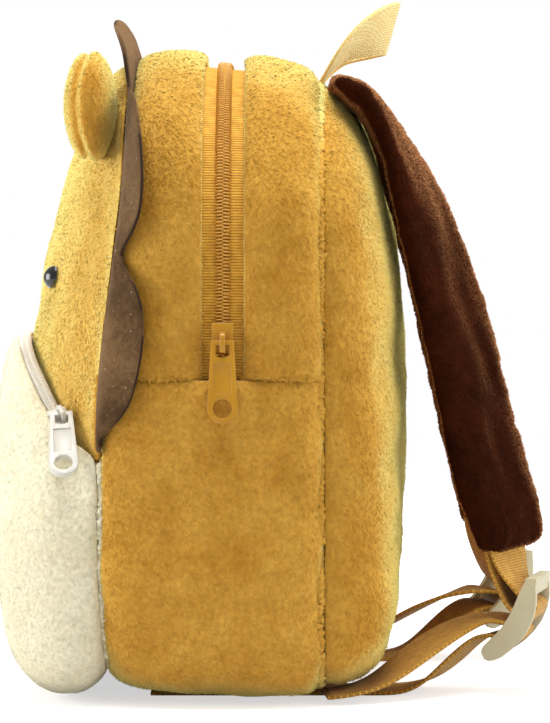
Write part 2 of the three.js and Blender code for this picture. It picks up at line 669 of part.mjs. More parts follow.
const archAcross = POCKET_ARCH.map((row) => row.across).slice(0, -1);
const arch = [...archAcross.toReversed(), ...archAcross.slice(1).map((x) => -x)].map(archStation);
const seamPart = (i) => {
  const { x, z, out } = front[station(i)];
  const spread = read(POCKET_OVERHANG, 'height', 'spread', z);
  return { x, z, y: frontSeamY(z) - GAP / 2, out, lift: 0, spread };
};
const steps = Array.from({ length: SHOULDER_STATION + 1 }, (_, i) => i);
const pocketRim = [
  ...steps.map(seamPart),
  ...arch.map((p) => ({ ...p, y: p.y - p.lift })),
  ...steps.slice(1).toReversed().map((i) => seamPart(-i)),
];
const pocketRows = POCKET_SECTION.map(({ reach, rise, spread }) => pocketRim.map((p) => {
  const x = p.x * reach + p.out.x * spread * p.spread;
  const z = lerp(POCKET_APEX.z, p.z, reach) + p.out.z * spread * p.spread;
  return at(x, lerp(p.y, POCKET_APEX.y, rise), Math.max(z, 0));
}));
pocketRows.push([at(0, POCKET_APEX.y, POCKET_APEX.z)]);
pocketRows.reverse();
add('pocket_panel', panelWall(pocketRows, pocketRim, FRONT_WAY, PLUSH), CREAM_PLUSH);

// A flat band along the pocket's zip, between two shares of its width and two levels
const zipStations = arch.filter((p) => p.z > POCKET_ZIP.ends);

function pocketBand(fromShare, toShare, low, high) {
  const level = (height) => zipStations.map((p) => [fromShare, toShare].map((share) => {
    const y = p.y - lerp(POCKET_ZIP.seat, p.lift - GAP, share);
    return at(p.x, y, p.z).addScaledVector(p.out, height);
  }));
  return wall(level(high), level(low), false);
}

const pocketRoom = POCKET_ZIP.band - POCKET_ZIP.seat - GAP;
const middleGap = GAP / pocketRoom / 2;
const pocketChainShare = POCKET_ZIP.chainWidth / pocketRoom / 2;
const pocketTapeTop = -PLUSH / 2;
const pocketChainLow = pocketTapeTop + GAP;
const pocketChainTop = pocketChainLow + POCKET_ZIP.chainThickness;
add('pocket_tape_back', pocketBand(0, 0.5 - middleGap, pocketTapeTop - TAPE, pocketTapeTop), WHITE_ZIP);
add('pocket_tape_front', pocketBand(0.5 + middleGap, 1, pocketTapeTop - TAPE, pocketTapeTop), WHITE_ZIP);
const chainFrom = 0.5 - pocketChainShare;
add('pocket_chain', pocketBand(chainFrom, 1 - chainFrom, pocketChainLow, pocketChainTop), WHITE_ZIP);

// Pocket slider and pull, at the right end of the arch, in the zip's own directions there
const zipMiddleY = (p) => p.y - (POCKET_ZIP.seat + POCKET_ZIP.band - GAP) / 2;
const zipMiddle = (x) => {
  const p = archStation(x);
  return at(p.x, zipMiddleY(p), p.z);
};
const pocketSeat = archStation(POCKET_SLIDER_ACROSS);
const pocketUp = zipMiddle(POCKET_SLIDER_ACROSS - 2).sub(zipMiddle(POCKET_SLIDER_ACROSS + 2)).normalize();
const pocketHingeWay = pocketSeat.out.clone().cross(pocketUp).normalize();
const pocketOut = pocketUp.clone().cross(pocketHingeWay);
const pocketSlider = add('pocket_slider', sliderGeometry(), WHITE_ZIP);
pocketSlider.scale.setScalar(POCKET_SLIDER_SCALE);
pocketSlider.position.copy(zipMiddle(POCKET_SLIDER_ACROSS)).addScaledVector(pocketOut, pocketChainTop);
const pocketWays = new THREE.Matrix4().makeBasis(pocketUp, pocketHingeWay, pocketOut);
pocketSlider.quaternion.setFromRotationMatrix(pocketWays);
const pocketPull = add('pocket_pull', pullGeometry(), WHITE_ZIP);
pocketPull.position.copy(pocketSlider.position);
pocketPull.position.addScaledVector(pocketOut, HINGE_ABOVE_CHAIN * POCKET_SLIDER_SCALE);
pocketPull.position.addScaledVector(pocketUp, SLIDER.offset * POCKET_SLIDER_SCALE);
pocketPull.rotation.set(degToRad(POCKET_PULL.sway), -degToRad(POCKET_PULL.lean), 0, 'YXZ');

// Mane: a felt strip in the front seam, scalloped, each scallop leaning its own way
const halfFront = front.slice(0, TOP_STATION + 1).toReversed();
const seamLengths = [0];
halfFront.slice(1).forEach((p, i) => {
  seamLengths.push(seamLengths[i] + Math.hypot(p.x - halfFront[i].x, p.z - halfFront[i].z));
});

function alongSeam(distance) {
  const length = Math.abs(distance);
  const i = Math.min(seamLengths.findIndex((reach) => reach > length) - 1, halfFront.length - 2);
  const t = (length - seamLengths[i]) / (seamLengths[i + 1] - seamLengths[i]);
  const z = lerp(halfFront[i].z, halfFront[i + 1].z, t);
  const place = at(lerp(halfFront[i].x, halfFront[i + 1].x, t), frontSeamY(z), z);
  const out = halfFront[i].out.clone().lerp(halfFront[i + 1].out, t).normalize();
  const mirror = at(distance < 0 ? -1 : 1, 1, 1);
  return { place: place.multiply(mirror), out: out.multiply(mirror) };
}

function scallopDepth(distance) {
  if (Math.abs(distance) > SCALLOP.count * SCALLOP.pitch) {
    return MANE_TAIL;
  }
  const share = (Math.abs(distance) / SCALLOP.pitch) % 1;
  return 1.2 + (SCALLOP.depth - 1.2) * Math.sqrt(Math.max(0, 1 - Math.abs(2 * share - 1) ** 2.4));
}

function maneColumn(distance) {
  const { place, out } = alongSeam(distance);
  const lean = degToRad(read(MANE_LEAN, 'along', 'lean', Math.abs(distance)));
  const depth = scallopDepth(distance);
  const column = [{ point: place.clone().addScaledVector(out, -MANE_ROOT), turn: 0 }];
  const strides = 24;
  const point = place.clone();
  for (let i = 0; i <= strides; i += 1) {
    const turn = lean * smoothstep((i / strides) * depth, 0, MANE_BEND);
    if (i % 6 === 0) {
      column.push({ point: point.clone(), turn });
    }
    point.addScaledVector(out, (Math.cos(turn) * depth) / strides);
    point.y += (Math.sin(turn) * depth) / strides;
  }
  const side = (half) => column.map((entry) => {
    const shifted = entry.point.clone().addScaledVector(out, -Math.sin(entry.turn) * half);
    shifted.y += Math.cos(entry.turn) * half;
    return shifted;
  });
  return { front: side(-FELT / 2), back: side(FELT / 2) };
}

const maneStops = [];
for (let i = 0; i <= SCALLOP.count * SCALLOP.columns; i += 1) {
  maneStops.push((i / SCALLOP.columns) * SCALLOP.pitch);
}
maneStops.push(MANE_END);
const maneColumns = [...maneStops.slice(1).toReversed().map((s) => -s), ...maneStops].map(maneColumn);
const maneSide = (name) => maneColumns.map((column) => column[name]);
add('mane', wall(maneSide('front'), maneSide('back'), false), BROWN_FELT);

// Ears and eyes, seated on the face
function ball(radii, place, across, down) {
  const sphere = new THREE.SphereGeometry(1, across, down);
  sphere.scale(radii.x, radii.y, radii.z).translate(place.x, place.y, place.z);
  return sphere;
}

for (const [name, side] of [['right', 1], ['left', -1]]) {
  const earRadii = at(EAR.halfWidth, EAR.halfDepth, EAR.halfHeight);
  const ear = ball(earRadii, at(side * EAR.across, EAR.y, EAR.z), 16, 10);
  add(`ear_${name}`, shape(solid(ear).subtract(faceCutter)), MUSTARD_PLUSH);
  const eyePlace = at(side * EYE.across, faceY(EYE.across, EYE.z) + EYE.sink, EYE.z);
  const eye = ball(at(EYE.radius, EYE.radius, EYE.radius), eyePlace, 12, 8);
  add(`eye_${name}`, shape(solid(eye).subtract(faceCutter)), BLACK_EYE);
}

// A smooth route through a table's rows, in even steps, with each row's turn
function route(rows, count) {
  const curve = new THREE.CatmullRomCurve3(rows.map(({ x, y, z }) => at(x, y, z)));
  const numbered = rows.map((row, i) => ({ ...row, i }));
  return Array.from({ length: count }, (_, n) => {
    const t = n / (count - 1);
    const i = t * (rows.length - 1);
    return {
      point: curve.getPoint(t),
      way: curve.getTangent(t),
      column: (name) => read(numbered, 'i', name, i),
    };
  });
}

// A flat band of webbing through places that each have a way along it and a way across it
function webbing(places, width) {
  return loft(places.map(({ point, way, across }) => {
    const side = across.clone().addScaledVector(way, -way.dot(across)).normalize();
    const up = side.clone().cross(way).normalize();
    const corner = (w, t) => point.clone().addScaledVector(side, w).addScaledVector(up, t);
    const w = width / 2;
    const t = WEB_THICKNESS / 2;
    return [corner(-w, -t), corner(w, -t), corner(w, t), corner(-w, t)];
  }));
}

// The way across a strap that is turned from flat about +Z
const acrossTurn = (turn) => at(-Math.cos(degToRad(turn)), Math.sin(degToRad(turn)), 0);

// Ways along a list of places, from their neighbours
function withWays(places) {
  return places.map((place, i) => {
    const before = places[Math.max(i - 1, 0)].point;
    const after = places[Math.min(i + 1, places.length - 1)].point;
    return { ...place, way: after.clone().sub(before).normalize() };
  });
}

// A point in the strap's plane, some way out from its origin, and its place on the adjuster's arc
function onStrap(out, z, across = 0) {
  const turn = degToRad(STRAP_TURN);
  const x = STRAP_ORIGIN.x + out * Math.sin(turn) - across * Math.cos(turn);
  return at(x, STRAP_ORIGIN.y + out * Math.cos(turn) + across * Math.sin(turn), z);
}

const onArc = (angle, radius) => ({
  out: radius * Math.cos(degToRad(angle)),
  z: STRAP_ORIGIN.z - radius * Math.sin(degToRad(angle)),
});

// A turn of webbing about one bar of the adjuster, out through one slot and back through the other
function roundBar({ from, to }) {
  const clear = GAP + WEB_THICKNESS / 2;
  const inside = LOCK.radius - LOCK.thickness / 2;
  const outside = LOCK.radius + LOCK.thickness / 2;
  const aside = THREE.MathUtils.radToDeg(clear / LOCK.radius);
  const half = Math.SQRT1_2;
  const leg = (edge, way) => [
    { angle: edge + way * aside, radius: inside },
    { angle: edge + way * aside, radius: outside },
    { angle: edge + way * aside * half, radius: outside + clear * half },
    { angle: edge, radius: outside + clear },
  ];
  const turns = [...leg(from, -1), ...leg(to, 1).toReversed()];
  return turns.map(({ angle, radius }) => ({ ...onArc(angle, radius), turn: STRAP_TURN }));
}

const inStrapPlane = ({ out, z, turn, across = 0 }) => (
  { point: onStrap(out, z, across), across: acrossTurn(turn) });
const inRoom = (rows, count) => route(rows, count).map(({ point, column }) => ({
  point: at(point.x, point.y, Math.max(point.z, WEB_THICKNESS / 2)),
  across: acrossTurn(column('turn')).setZ(column('roll')),
}));
const loopPlaces = [
  ...LOOP_RUNS.outer,
  ...roundBar(LOCK_BARS.loop),
  ...LOOP_RUNS.inner,
].map(inStrapPlane);
const webPlaces = [
  ...inRoom(WEB_UP, 16),
  ...roundBar(LOCK_BARS.web).map(inStrapPlane),
  ...inRoom(WEB_DOWN, 22),
];

// The adjuster: an arched plate across the strap, with three slots
function lockGeometry() {
  const inner = LOCK.radius - LOCK.thickness / 2;
  const outer = LOCK.radius + LOCK.thickness / 2;
  const arcPlate = (from, to, low, high, width) => {
    const count = Math.max(2, Math.ceil((to - from) / 6) + 1);
    const rows = [low, high].map((radius) => Array.from({ length: count }, (_, n) => {
      const { out, z } = onArc(lerp(from, to, n / (count - 1)), radius);
      return [-width / 2, width / 2].map((across) => onStrap(out, z, across));
    }));
    return solid(wall(rows[1], rows[0], false));
  };
  let plate = arcPlate(0, LOCK.end, inner, outer, LOCK.width);
  for (const { from, to } of LOCK_SLOTS) {
    plate = plate.subtract(arcPlate(from, to, inner - 1, outer + 1, LOCK.slotWidth));
  }
  for (const acrosses of [[-LOCK_RAIL.outside, -LOCK_RAIL.inside], [LOCK_RAIL.inside, LOCK_RAIL.outside]]) {
    const edge = (name, way) => LOCK_RAILS.map((row) => {
      const { out, z } = onArc(row.angle, LOCK.radius + way * row[name]);
      return acrosses.map((across) => onStrap(out, z, across));
    });
    plate = plate.add(solid(wall(edge('above', 1), edge('below', -1), false)));
  }
  return shape(plate);
}

// A padded strap: a soft oval section along its route, seated on the back panel
function padGeometry(turn) {
  const places = route(PAD_ROUTE, PAD.rings);
  const rings = places.map(({ point, way, column }) => {
    const across = acrossTurn(column(turn));
    const side = across.addScaledVector(way, -way.dot(across)).normalize();
    const up = side.clone().cross(way).normalize();
    return Array.from({ length: PAD.sides }, (_, n) => {
      const angle = (2 * Math.PI * n) / PAD.sides;
      const soft = (value, power) => Math.sign(value) * Math.abs(value) ** power;
      const w = PAD.halfWidth * column('width') * soft(Math.cos(angle), 0.6);
      const t = PAD.halfThickness * column('thickness') * soft(Math.sin(angle), 0.8);
      return point.clone().addScaledVector(side, w).addScaledVector(up, t);
    });
  });
  return shape(solid(loft(rings)).subtract(backCutter));
}

// Turns a piece of the right strap into the left one's
function sided(geometry, side) {
  const points = [];
  for (let i = 0; i < geometry.attributes.position.count; i += 1) {
    points.push(at(0, 0, 0).fromBufferAttribute(geometry.attributes.position, i).multiply(at(side, 1, 1)));
  }
  return geometryOf(points, [...geometry.index.array]);
}

for (const [name, side] of [['right', 1], ['left', -1]]) {
  add(`strap_pad_${name}`, sided(padGeometry(name), side), BROWN_PLUSH);
  add(`strap_loop_${name}`, sided(webbing(withWays(loopPlaces), WEB_WIDTH), side), MUSTARD_WEB);
  add(`ladder_lock_${name}`, sided(lockGeometry(), side), TAN_PLASTIC);
  add(`strap_web_${name}`, sided(webbing(withWays(webPlaces), WEB_WIDTH), side), MUSTARD_WEB);
}

// The hang loop: its width lies along the seam at its ends and stands up at its top
const otherHalf = HANDLE_ROUTE.slice(0, -1).toReversed();
const mirroredHalf = otherHalf.map((row) => ({ ...row, x: -row.x, turn: 180 - row.turn }));
const handleRows = [...HANDLE_ROUTE, ...mirroredHalf];
const handlePlaces = route(handleRows, HANDLE.rings).map(({ point, way, column }) => {
  const turn = degToRad(column('turn'));
  const upright = at(0, 0.27, 0.96).multiplyScalar(Math.sin(turn));
  return { point, way, across: upright.add(at(Math.cos(turn), 0, 0)) };
});
add('handle_loop', webbing(handlePlaces, HANDLE.width), MUSTARD_WEB);

export default bag;
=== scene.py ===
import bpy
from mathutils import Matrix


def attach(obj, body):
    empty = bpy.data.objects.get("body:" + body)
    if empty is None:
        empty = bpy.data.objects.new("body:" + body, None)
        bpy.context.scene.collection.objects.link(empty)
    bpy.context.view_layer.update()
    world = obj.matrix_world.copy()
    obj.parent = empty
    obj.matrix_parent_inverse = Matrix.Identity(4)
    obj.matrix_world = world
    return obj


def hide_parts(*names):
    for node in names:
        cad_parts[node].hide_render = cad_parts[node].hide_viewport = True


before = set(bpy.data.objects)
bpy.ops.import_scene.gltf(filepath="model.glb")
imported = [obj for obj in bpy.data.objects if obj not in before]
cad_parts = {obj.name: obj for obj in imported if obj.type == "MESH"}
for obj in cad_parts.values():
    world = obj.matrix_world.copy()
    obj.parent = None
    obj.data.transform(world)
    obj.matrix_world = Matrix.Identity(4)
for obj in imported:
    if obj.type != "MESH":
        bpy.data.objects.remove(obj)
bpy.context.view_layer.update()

import math

import bmesh
import bpy
import numpy as np
from mathutils import Vector
from mathutils.bvhtree import BVHTree

scene = bpy.context.scene

# The studio: a white table under three wide soft lights, before, behind and above the bag, with the camera level
# with the bag's middle and looking at its right side. The table is bright enough to fade into the backdrop.
AIM = Vector((0, 0.00125, 0.1375))
CAMERA = {"distance": 1.205, "rise": math.radians(2.2), "lens": 136.9}
WHITE, BLACK = (1, 1, 1, 1), (0, 0, 0, 1)
BACKDROP = {"light": 0.36, "seen": 1.0}
TABLE = {"radius": 0.95, "glow": 0.6, "greys": (0.7, 0.74)}
SOFT_LIGHTS = [
    ("face_light", (0.25, -1.4, 0.32), 1.0, 17.5),
    ("back_light", (0.0, 1.4, 0.55), 1.5, 19),
    ("top_light", (0.15, 0.0, 1.5), 0.9, 24),
]


def piece_from(name, mesh, finish):
    piece = bpy.data.objects.new(name, mesh)
    scene.collection.objects.link(piece)
    mesh.materials.clear()
    mesh.materials.append(finish)
    return piece


def node(tree, kind, settings=None, **inputs):
    """A node with its inputs set or linked. An input goes by its name, or by its number as i0, i1 and so on."""
    made = tree.nodes.new(kind)
    for name, value in (settings or {}).items():
        setattr(made, name, value)
    for name, value in inputs.items():
        number = name[1:] if name[0] == "i" else ""
        socket = made.inputs[int(number)] if number.isdigit() else made.inputs[name.replace("_", " ")]
        if isinstance(value, bpy.types.NodeSocket):
            tree.links.new(value, socket)
        else:
            socket.default_value = value
    return made


def finish_with(name, **sockets):
    """A new material, its nodes and its shader, with the shader's plain values set."""
    finish = bpy.data.materials.new(name)
    finish.use_nodes = True
    shader = finish.node_tree.nodes["Principled BSDF"]
    for socket, value in sockets.items():
        shader.inputs[socket.replace("_", " ")].default_value = value
    return finish, finish.node_tree, shader


def colour(code):
    """The linear colour of a six-figure code."""
    levels = [int(code[i:i + 2], 16) / 255 for i in (0, 2, 4)]
    return [v / 12.92 if v <= 0.04045 else ((v + 0.055) / 1.055) ** 2.4 for v in levels] + [1]


camera = bpy.data.objects.new("camera", bpy.data.cameras.new("camera"))
scene.collection.objects.link(camera)
camera.data.lens = CAMERA["lens"]
sight = Vector((math.cos(CAMERA["rise"]), 0, math.sin(CAMERA["rise"])))
camera.location = AIM + CAMERA["distance"] * sight
camera.rotation_euler = (AIM - camera.location).to_track_quat("-Z", "Y").to_euler()
scene.camera = camera
scene.view_settings.view_transform = "Standard"

scene.world = bpy.data.worlds.new("backdrop")
scene.world.use_nodes = True
sky = scene.world.node_tree
seen = node(sky, "ShaderNodeLightPath").outputs["Is Camera Ray"]
brightness = node(sky, "ShaderNodeMapRange", Value=seen, To_Min=BACKDROP["light"],
                  To_Max=BACKDROP["seen"]).outputs[0]
sky.links.new(brightness, sky.nodes["Background"].inputs["Strength"])
sky.nodes["Background"].inputs["Color"].default_value = WHITE

for name, place, size, power in SOFT_LIGHTS:
    lamp = bpy.data.lights.new(name, "AREA")
    lamp.size, lamp.energy = size, power
    light = bpy.data.objects.new(name, lamp)
    scene.collection.objects.link(light)
    light.location = place
    light.rotation_euler = (AIM - Vector(place)).to_track_quat("-Z", "Y").to_euler()

table_top, tree, shader = finish_with("white_table", Roughness=0.8)
shader.inputs["Emission Color"].default_value = WHITE
seen = node(tree, "ShaderNodeLightPath").outputs["Is Camera Ray"]
glow = node(tree, "ShaderNodeMath", {"operation": "MULTIPLY"}, i0=seen, i1=TABLE["glow"]).outputs[0]
tree.links.new(glow, shader.inputs["Emission Strength"])
grain = node(tree, "ShaderNodeTexNoise", Scale=3.0).outputs[0]
darker, paler = TABLE["greys"]
grey = node(tree, "ShaderNodeMapRange", Value=grain, To_Min=darker, To_Max=paler).outputs[0]
tree.links.new(grey, shader.inputs["Base Color"])
mesh = bpy.data.meshes.new("table")
turns = np.radians(np.arange(0, 360, 5))
rim = [(TABLE["radius"] * math.cos(t), TABLE["radius"] * math.sin(t), 0) for t in turns]
mesh.from_pydata(rim, [], [tuple(range(len(rim)))])
piece_from("table", mesh, table_top)

# The bag's shell: a face panel, a back panel, a lower gusset round the sides and bottom, and two upper gusset
# strips, cut from mustard short-pile plush. The panels are sewn inside out, so each seam shows as a groove.
SHELL = {
    "front_panel": {"flat": (0.215, 0.285), "area": 0.0490, "seed": 1},
    "back_panel": {"flat": (0.225, 0.295), "area": 0.0553, "seed": 2},
    "gusset_lower": {"flat": (0.095, 0.46), "area": 0.0401, "seed": 3},
    "gusset_upper_front": {"flat": (0.039, 0.40), "area": 0.0139, "seed": 4},
    "gusset_upper_back": {"flat": (0.039, 0.40), "area": 0.0142, "seed": 5},
}
SHELL_CORE = ((-0.06, -0.055, 0.055), (0.06, 0.005, 0.2))
WAVES = {"count": 7, "lengths": (0.6, 1.5), "level": 2.6}
SHELL_DENTS = [{"depth": 0.0007, "size": 0.05, "seed": 9}, {"depth": 0.0003, "size": 0.016, "seed": 10}]
SHORT_PILE = {"per_mm2": 0.96, "height": 0.0006, "spread": 0.0008, "lean": 0.0009}
TUFT = {"feet": ((-0.6, 0.6), (-0.6, -0.6), (0.7, 0)), "sunk": 0.0002, "comb": (0, 0.25, -1),
        "swirl": 0.5, "swirl_size": 0.03, "stray": 0.6, "sizes": (0.75, 1.25), "heights": (0.8, 1.3),
        "leans": (0.5, 1.3), "own_light": 0.25, "glint": 0.04}
# Heights along each tuft, three feet then the tip. They set its painted root shade and its painted sheen; bare
# cloth counts as 0.
TUFT_SHADES = [0.1, 0.1, 0.1, 1]
FLOOR_BARE = 0.004
SEAMS = [("back_panel", "gusset_lower"), ("back_panel", "gusset_upper_back"), ("front_panel", "gusset_lower"),
         ("gusset_upper_front", "gusset_lower"), ("gusset_upper_back", "gusset_lower")]
SEAM_DIP = {"depth": 0.0016, "width": 0.0045}
SEAM_PILE = {"step": 0.0004, "stray": 0.0004, "depth": 0.0022, "seed": 60,
             "tuft": {"height": 0.0009, "spread": 0.0022, "lean": 0.0006}}
SEAM_REACH = {"edge": 0.0012, "front": 0.004}
EYES = {"across": 0.040, "height": 0.1745, "bare": 0.0052}
POCKET_EDGE = ((0, 0.042, 0.066, 0.097), (0.148, 0.136, 0.119, 0.096))


def wall_of(name):
    """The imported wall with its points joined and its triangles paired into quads."""
    bm = bmesh.new()
    bm.from_mesh(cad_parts[name].data)
    bmesh.ops.remove_doubles(bm, verts=bm.verts, dist=1e-5)
    bmesh.ops.join_triangles(bm, faces=bm.faces[:], angle_face_threshold=0.6, angle_shape_threshold=0.8)
    return bm


def applied(piece):
    """The piece with its modifiers made part of its mesh."""
    bpy.context.view_layer.update()
    mesh = bpy.data.meshes.new_from_object(piece.evaluated_get(bpy.context.evaluated_depsgraph_get()))
    mesh.name = piece.name
    piece.modifiers.clear()
    piece.data = mesh
    mesh.shade_smooth()
    return piece


def cut_and_sewn(name, label, finish, levels=2, prepare=None):
    """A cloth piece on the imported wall, its faceted shape rounded off."""
    bm = wall_of(name)
    if prepare:
        prepare(bm)
    mesh = bpy.data.meshes.new(label)
    bm.to_mesh(mesh)
    bm.free()
    piece = piece_from(label, mesh, finish)
    rounding = piece.modifiers.new("rounding", "SUBSURF")
    rounding.levels = rounding.render_levels = levels
    return applied(piece)


def points_of(mesh):
    points = np.empty(len(mesh.vertices) * 3, np.float32)
    mesh.vertices.foreach_get("co", points)
    return points.reshape(-1, 3).astype(float)


def ways_of(mesh):
    """The way out of the surface at each of its points."""
    ways = np.empty(len(mesh.vertices) * 3, np.float32)
    mesh.vertex_normals.foreach_get("vector", ways)
    return ways.reshape(-1, 3)


def place_points(mesh, points):
    mesh.vertices.foreach_set("co", points.astype(np.float32).ravel())
    mesh.update()


def unit(ways):
    return ways / np.maximum(np.linalg.norm(ways, axis=-1, keepdims=True), 1e-9)


def soft_noise(points, size, seed):
    """Smooth values, mostly from -1 to 1, that rise and fall over a distance of size."""
    chance = np.random.default_rng(seed)
    total = 0
    for _ in range(WAVES["count"]):
        way = unit(chance.normal(size=3)) * 2 * math.pi / size * chance.uniform(*WAVES["lengths"])
        total = total + np.sin(points @ way + chance.uniform(0, 2 * math.pi))
    return total / WAVES["level"]


def dents_at(points, dents):
    return sum(dent["depth"] * soft_noise(points, dent["size"], dent["seed"]) for dent in dents)


def out_of(core):
    """Ways out from a box that lies inside a shell."""
    return lambda points: unit(points - np.clip(points, *core))


def surface_of(name):
    bm = wall_of(name)
    surface = BVHTree.FromBMesh(bm)
    bm.free()
    return surface


def seam_dip(points, names):
    """How far the seams with the named pieces draw each point in."""
    near = np.full(len(points), 1.0)
    for name in names:
        surface = surface_of(name)
        far = 2 * SEAM_DIP["width"]
        found = (surface.find_nearest(point, far)[3] for point in points.tolist())
        near = np.minimum(near, [far if gap is None else gap for gap in found])
    return SEAM_DIP["depth"] * np.exp(-(near / SEAM_DIP["width"]) ** 2)


def tufts(label, root, up, finish, seed, height, spread, lean):
    """Short tufts of pile in one mesh, each lying over a little and lit much as the cloth under it is."""
    count = len(root)
    chance = np.random.default_rng(seed + 500)
    down = np.asarray(TUFT["comb"], float)
    lie = unit(down - (up @ down)[:, None] * up)
    beside = np.cross(up, lie)
    swirl = TUFT["swirl"] * soft_noise(root, TUFT["swirl_size"], seed + 50)
    turn = (swirl + chance.normal(0, TUFT["stray"], count))[:, None]
    lie, beside = np.cos(turn) * lie + np.sin(turn) * beside, np.cos(turn) * beside - np.sin(turn) * lie
    size = chance.uniform(*TUFT["sizes"], count)[:, None]
    foot = root - TUFT["sunk"] * up
    feet = [foot + spread * size * (along * lie + across * beside) for along, across in TUFT["feet"]]
    tip = root + size * (height * chance.uniform(*TUFT["heights"], count)[:, None] * up
                         + lean * chance.uniform(*TUFT["leans"], count)[:, None] * lie)
    points = np.stack([*feet, tip], axis=1)
    corners = np.array([[0, 1, 3], [1, 2, 3], [2, 0, 3]])
    a, b, c = (points[:, corners[:, k]] for k in range(3))
    lit = unit(up[:, None] + TUFT["own_light"] * unit(np.cross(b - a, c - a))
               + chance.normal(0, TUFT["glint"], (count, 1, 3)))
    faces = (4 * np.arange(count)[:, None] + corners.ravel()).astype(np.int32).ravel()
    pile = bpy.data.meshes.new(label)
    pile.vertices.add(4 * count)
    pile.vertices.foreach_set("co", points.astype(np.float32).ravel())
    pile.loops.add(9 * count)
    pile.loops.foreach_set("vertex_index", faces)
    pile.polygons.add(3 * count)
    pile.polygons.foreach_set("loop_start", np.arange(0, 9 * count, 3, dtype=np.int32))
    pile.update()
    pile.shade_smooth()
    heights = pile.attributes.new("tuft_height", "FLOAT", "POINT")
    heights.data.foreach_set("value", np.tile(np.array(TUFT_SHADES, np.float32), count))
    pile.normals_split_custom_set(np.repeat(lit.reshape(-1, 3), 3, axis=0))
    return piece_from(label, pile, finish)


def pile_on(cloth, finish, out_way, seed, per_mm2, height, spread, lean, bare=None, turned=-0.3):
    """Pile all over a cloth's outer side, as far round its edges as turned lets it go."""
    mesh = cloth.data
    mesh.calc_loop_triangles()
    corners = np.empty(len(mesh.loop_triangles) * 3, np.int32)
    mesh.loop_triangles.foreach_get("vertices", corners)
    corners = corners.reshape(-1, 3)
    points, ways = points_of(mesh), ways_of(mesh)
    a, b, c = points[corners].transpose(1, 0, 2)
    face_way = np.cross(b - a, c - a)
    area = np.linalg.norm(face_way, axis=1) / 2
    middle = (a + b + c) / 3
    shown = np.einsum("ij,ij->i", unit(face_way), out_way(middle)) > turned
    if bare:
        shown &= ~bare(middle)
    area = np.where(shown, area, 0)
    count = int(area.sum() * 1e6 * per_mm2)
    chance = np.random.default_rng(seed)
    chosen = np.searchsorted(np.cumsum(area), (np.arange(count) + chance.random(count)) / count * area.sum())
    chosen = np.minimum(chosen, len(area) - 1)
    u, v = chance.random((2, count))
    over = u + v > 1
    u[over], v[over] = 1 - u[over], 1 - v[over]
    share = np.stack([1 - u - v, u, v], axis=1)[:, :, None]
    root = (points[corners[chosen]] * share).sum(1)
    up = unit((ways[corners[chosen]] * share).sum(1))
    return tufts(cloth.name + "_pile", root, up, finish, seed, height, spread, lean)


def effect(name, inputs, outputs):
    """An empty shader node group, what comes into it and what it puts out."""
    tree = bpy.data.node_groups.new(name, "ShaderNodeTree")
    for label, kind, value in inputs:
        tree.interface.new_socket(label, in_out="INPUT", socket_type="NodeSocket" + kind).default_value = value
    for label, kind in outputs:
        tree.interface.new_socket(label, in_out="OUTPUT", socket_type="NodeSocket" + kind)
    return tree, tree.nodes.new("NodeGroupInput").outputs, tree.nodes.new("NodeGroupOutput").inputs


pile_mottle, given, result = effect(
    "pile_mottle",
    [("Light", "Color", WHITE), ("Dark", "Color", BLACK), ("Patches", "Float", 45.0),
     ("Height", "Float", 0.0), ("Depth", "Float", 0.6)],
    [("Color", "Color"), ("Grain", "Float")])
place = node(pile_mottle, "ShaderNodeTexCoord").outputs["Object"]
patches = node(pile_mottle, "ShaderNodeTexNoise", Vector=place, Scale=given["Patches"], Detail=5.0,
               Roughness=0.68)
patches = node(pile_mottle, "ShaderNodeMapRange", Value=patches.outputs[0], From_Min=0.34, From_Max=0.66)
brushed = node(pile_mottle, "ShaderNodeMix", {"data_type": "RGBA"}, i0=patches.outputs[0], i6=given["Dark"],
               i7=given["Light"]).outputs[2]
clumps = node(pile_mottle, "ShaderNodeTexNoise", Vector=place, Scale=520.0, Detail=2.0).outputs[0]
clump_shade = node(pile_mottle, "ShaderNodeMapRange", Value=clumps, From_Min=0.3, From_Max=0.7, To_Min=0.86,
                   To_Max=1.1).outputs[0]
# Painted shade between the tufts: the bare cloth and the tufts' roots are darkened down to the given share.
painted_root_shade = node(pile_mottle, "ShaderNodeMapRange", Value=given["Height"], To_Min=given["Depth"],
                   To_Max=1.0).outputs[0]
shade = node(pile_mottle, "ShaderNodeMath", {"operation": "MULTIPLY"}, i0=clump_shade, i1=painted_root_shade).outputs[0]
shaded = node(pile_mottle, "ShaderNodeVectorMath", {"operation": "SCALE"}, i0=brushed, Scale=shade).outputs[0]
pile_mottle.links.new(shaded, result["Color"])
pile_mottle.links.new(clumps, result["Grain"])


def pile_in_seam(label, near, far, out_way, finish, seed, reach):
    """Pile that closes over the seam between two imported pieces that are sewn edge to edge."""
    other = surface_of(far)
    bm = wall_of(near)
    edge = {v for v in bm.verts if other.find_nearest(v.co)[3] < reach}
    root = [np.linspace(*(np.array(v.co) for v in e.verts), max(2, round(e.calc_length() / SEAM_PILE["step"])))
            for e in bm.edges if edge.issuperset(e.verts)]
    bm.free()
    root = np.concatenate(root)
    chance = np.random.default_rng(seed)
    root = root + chance.normal(0, SEAM_PILE["stray"], root.shape)
    up = out_way(root)
    return tufts(label, root - SEAM_PILE["depth"] * up, up, finish, seed, **SEAM_PILE["tuft"])


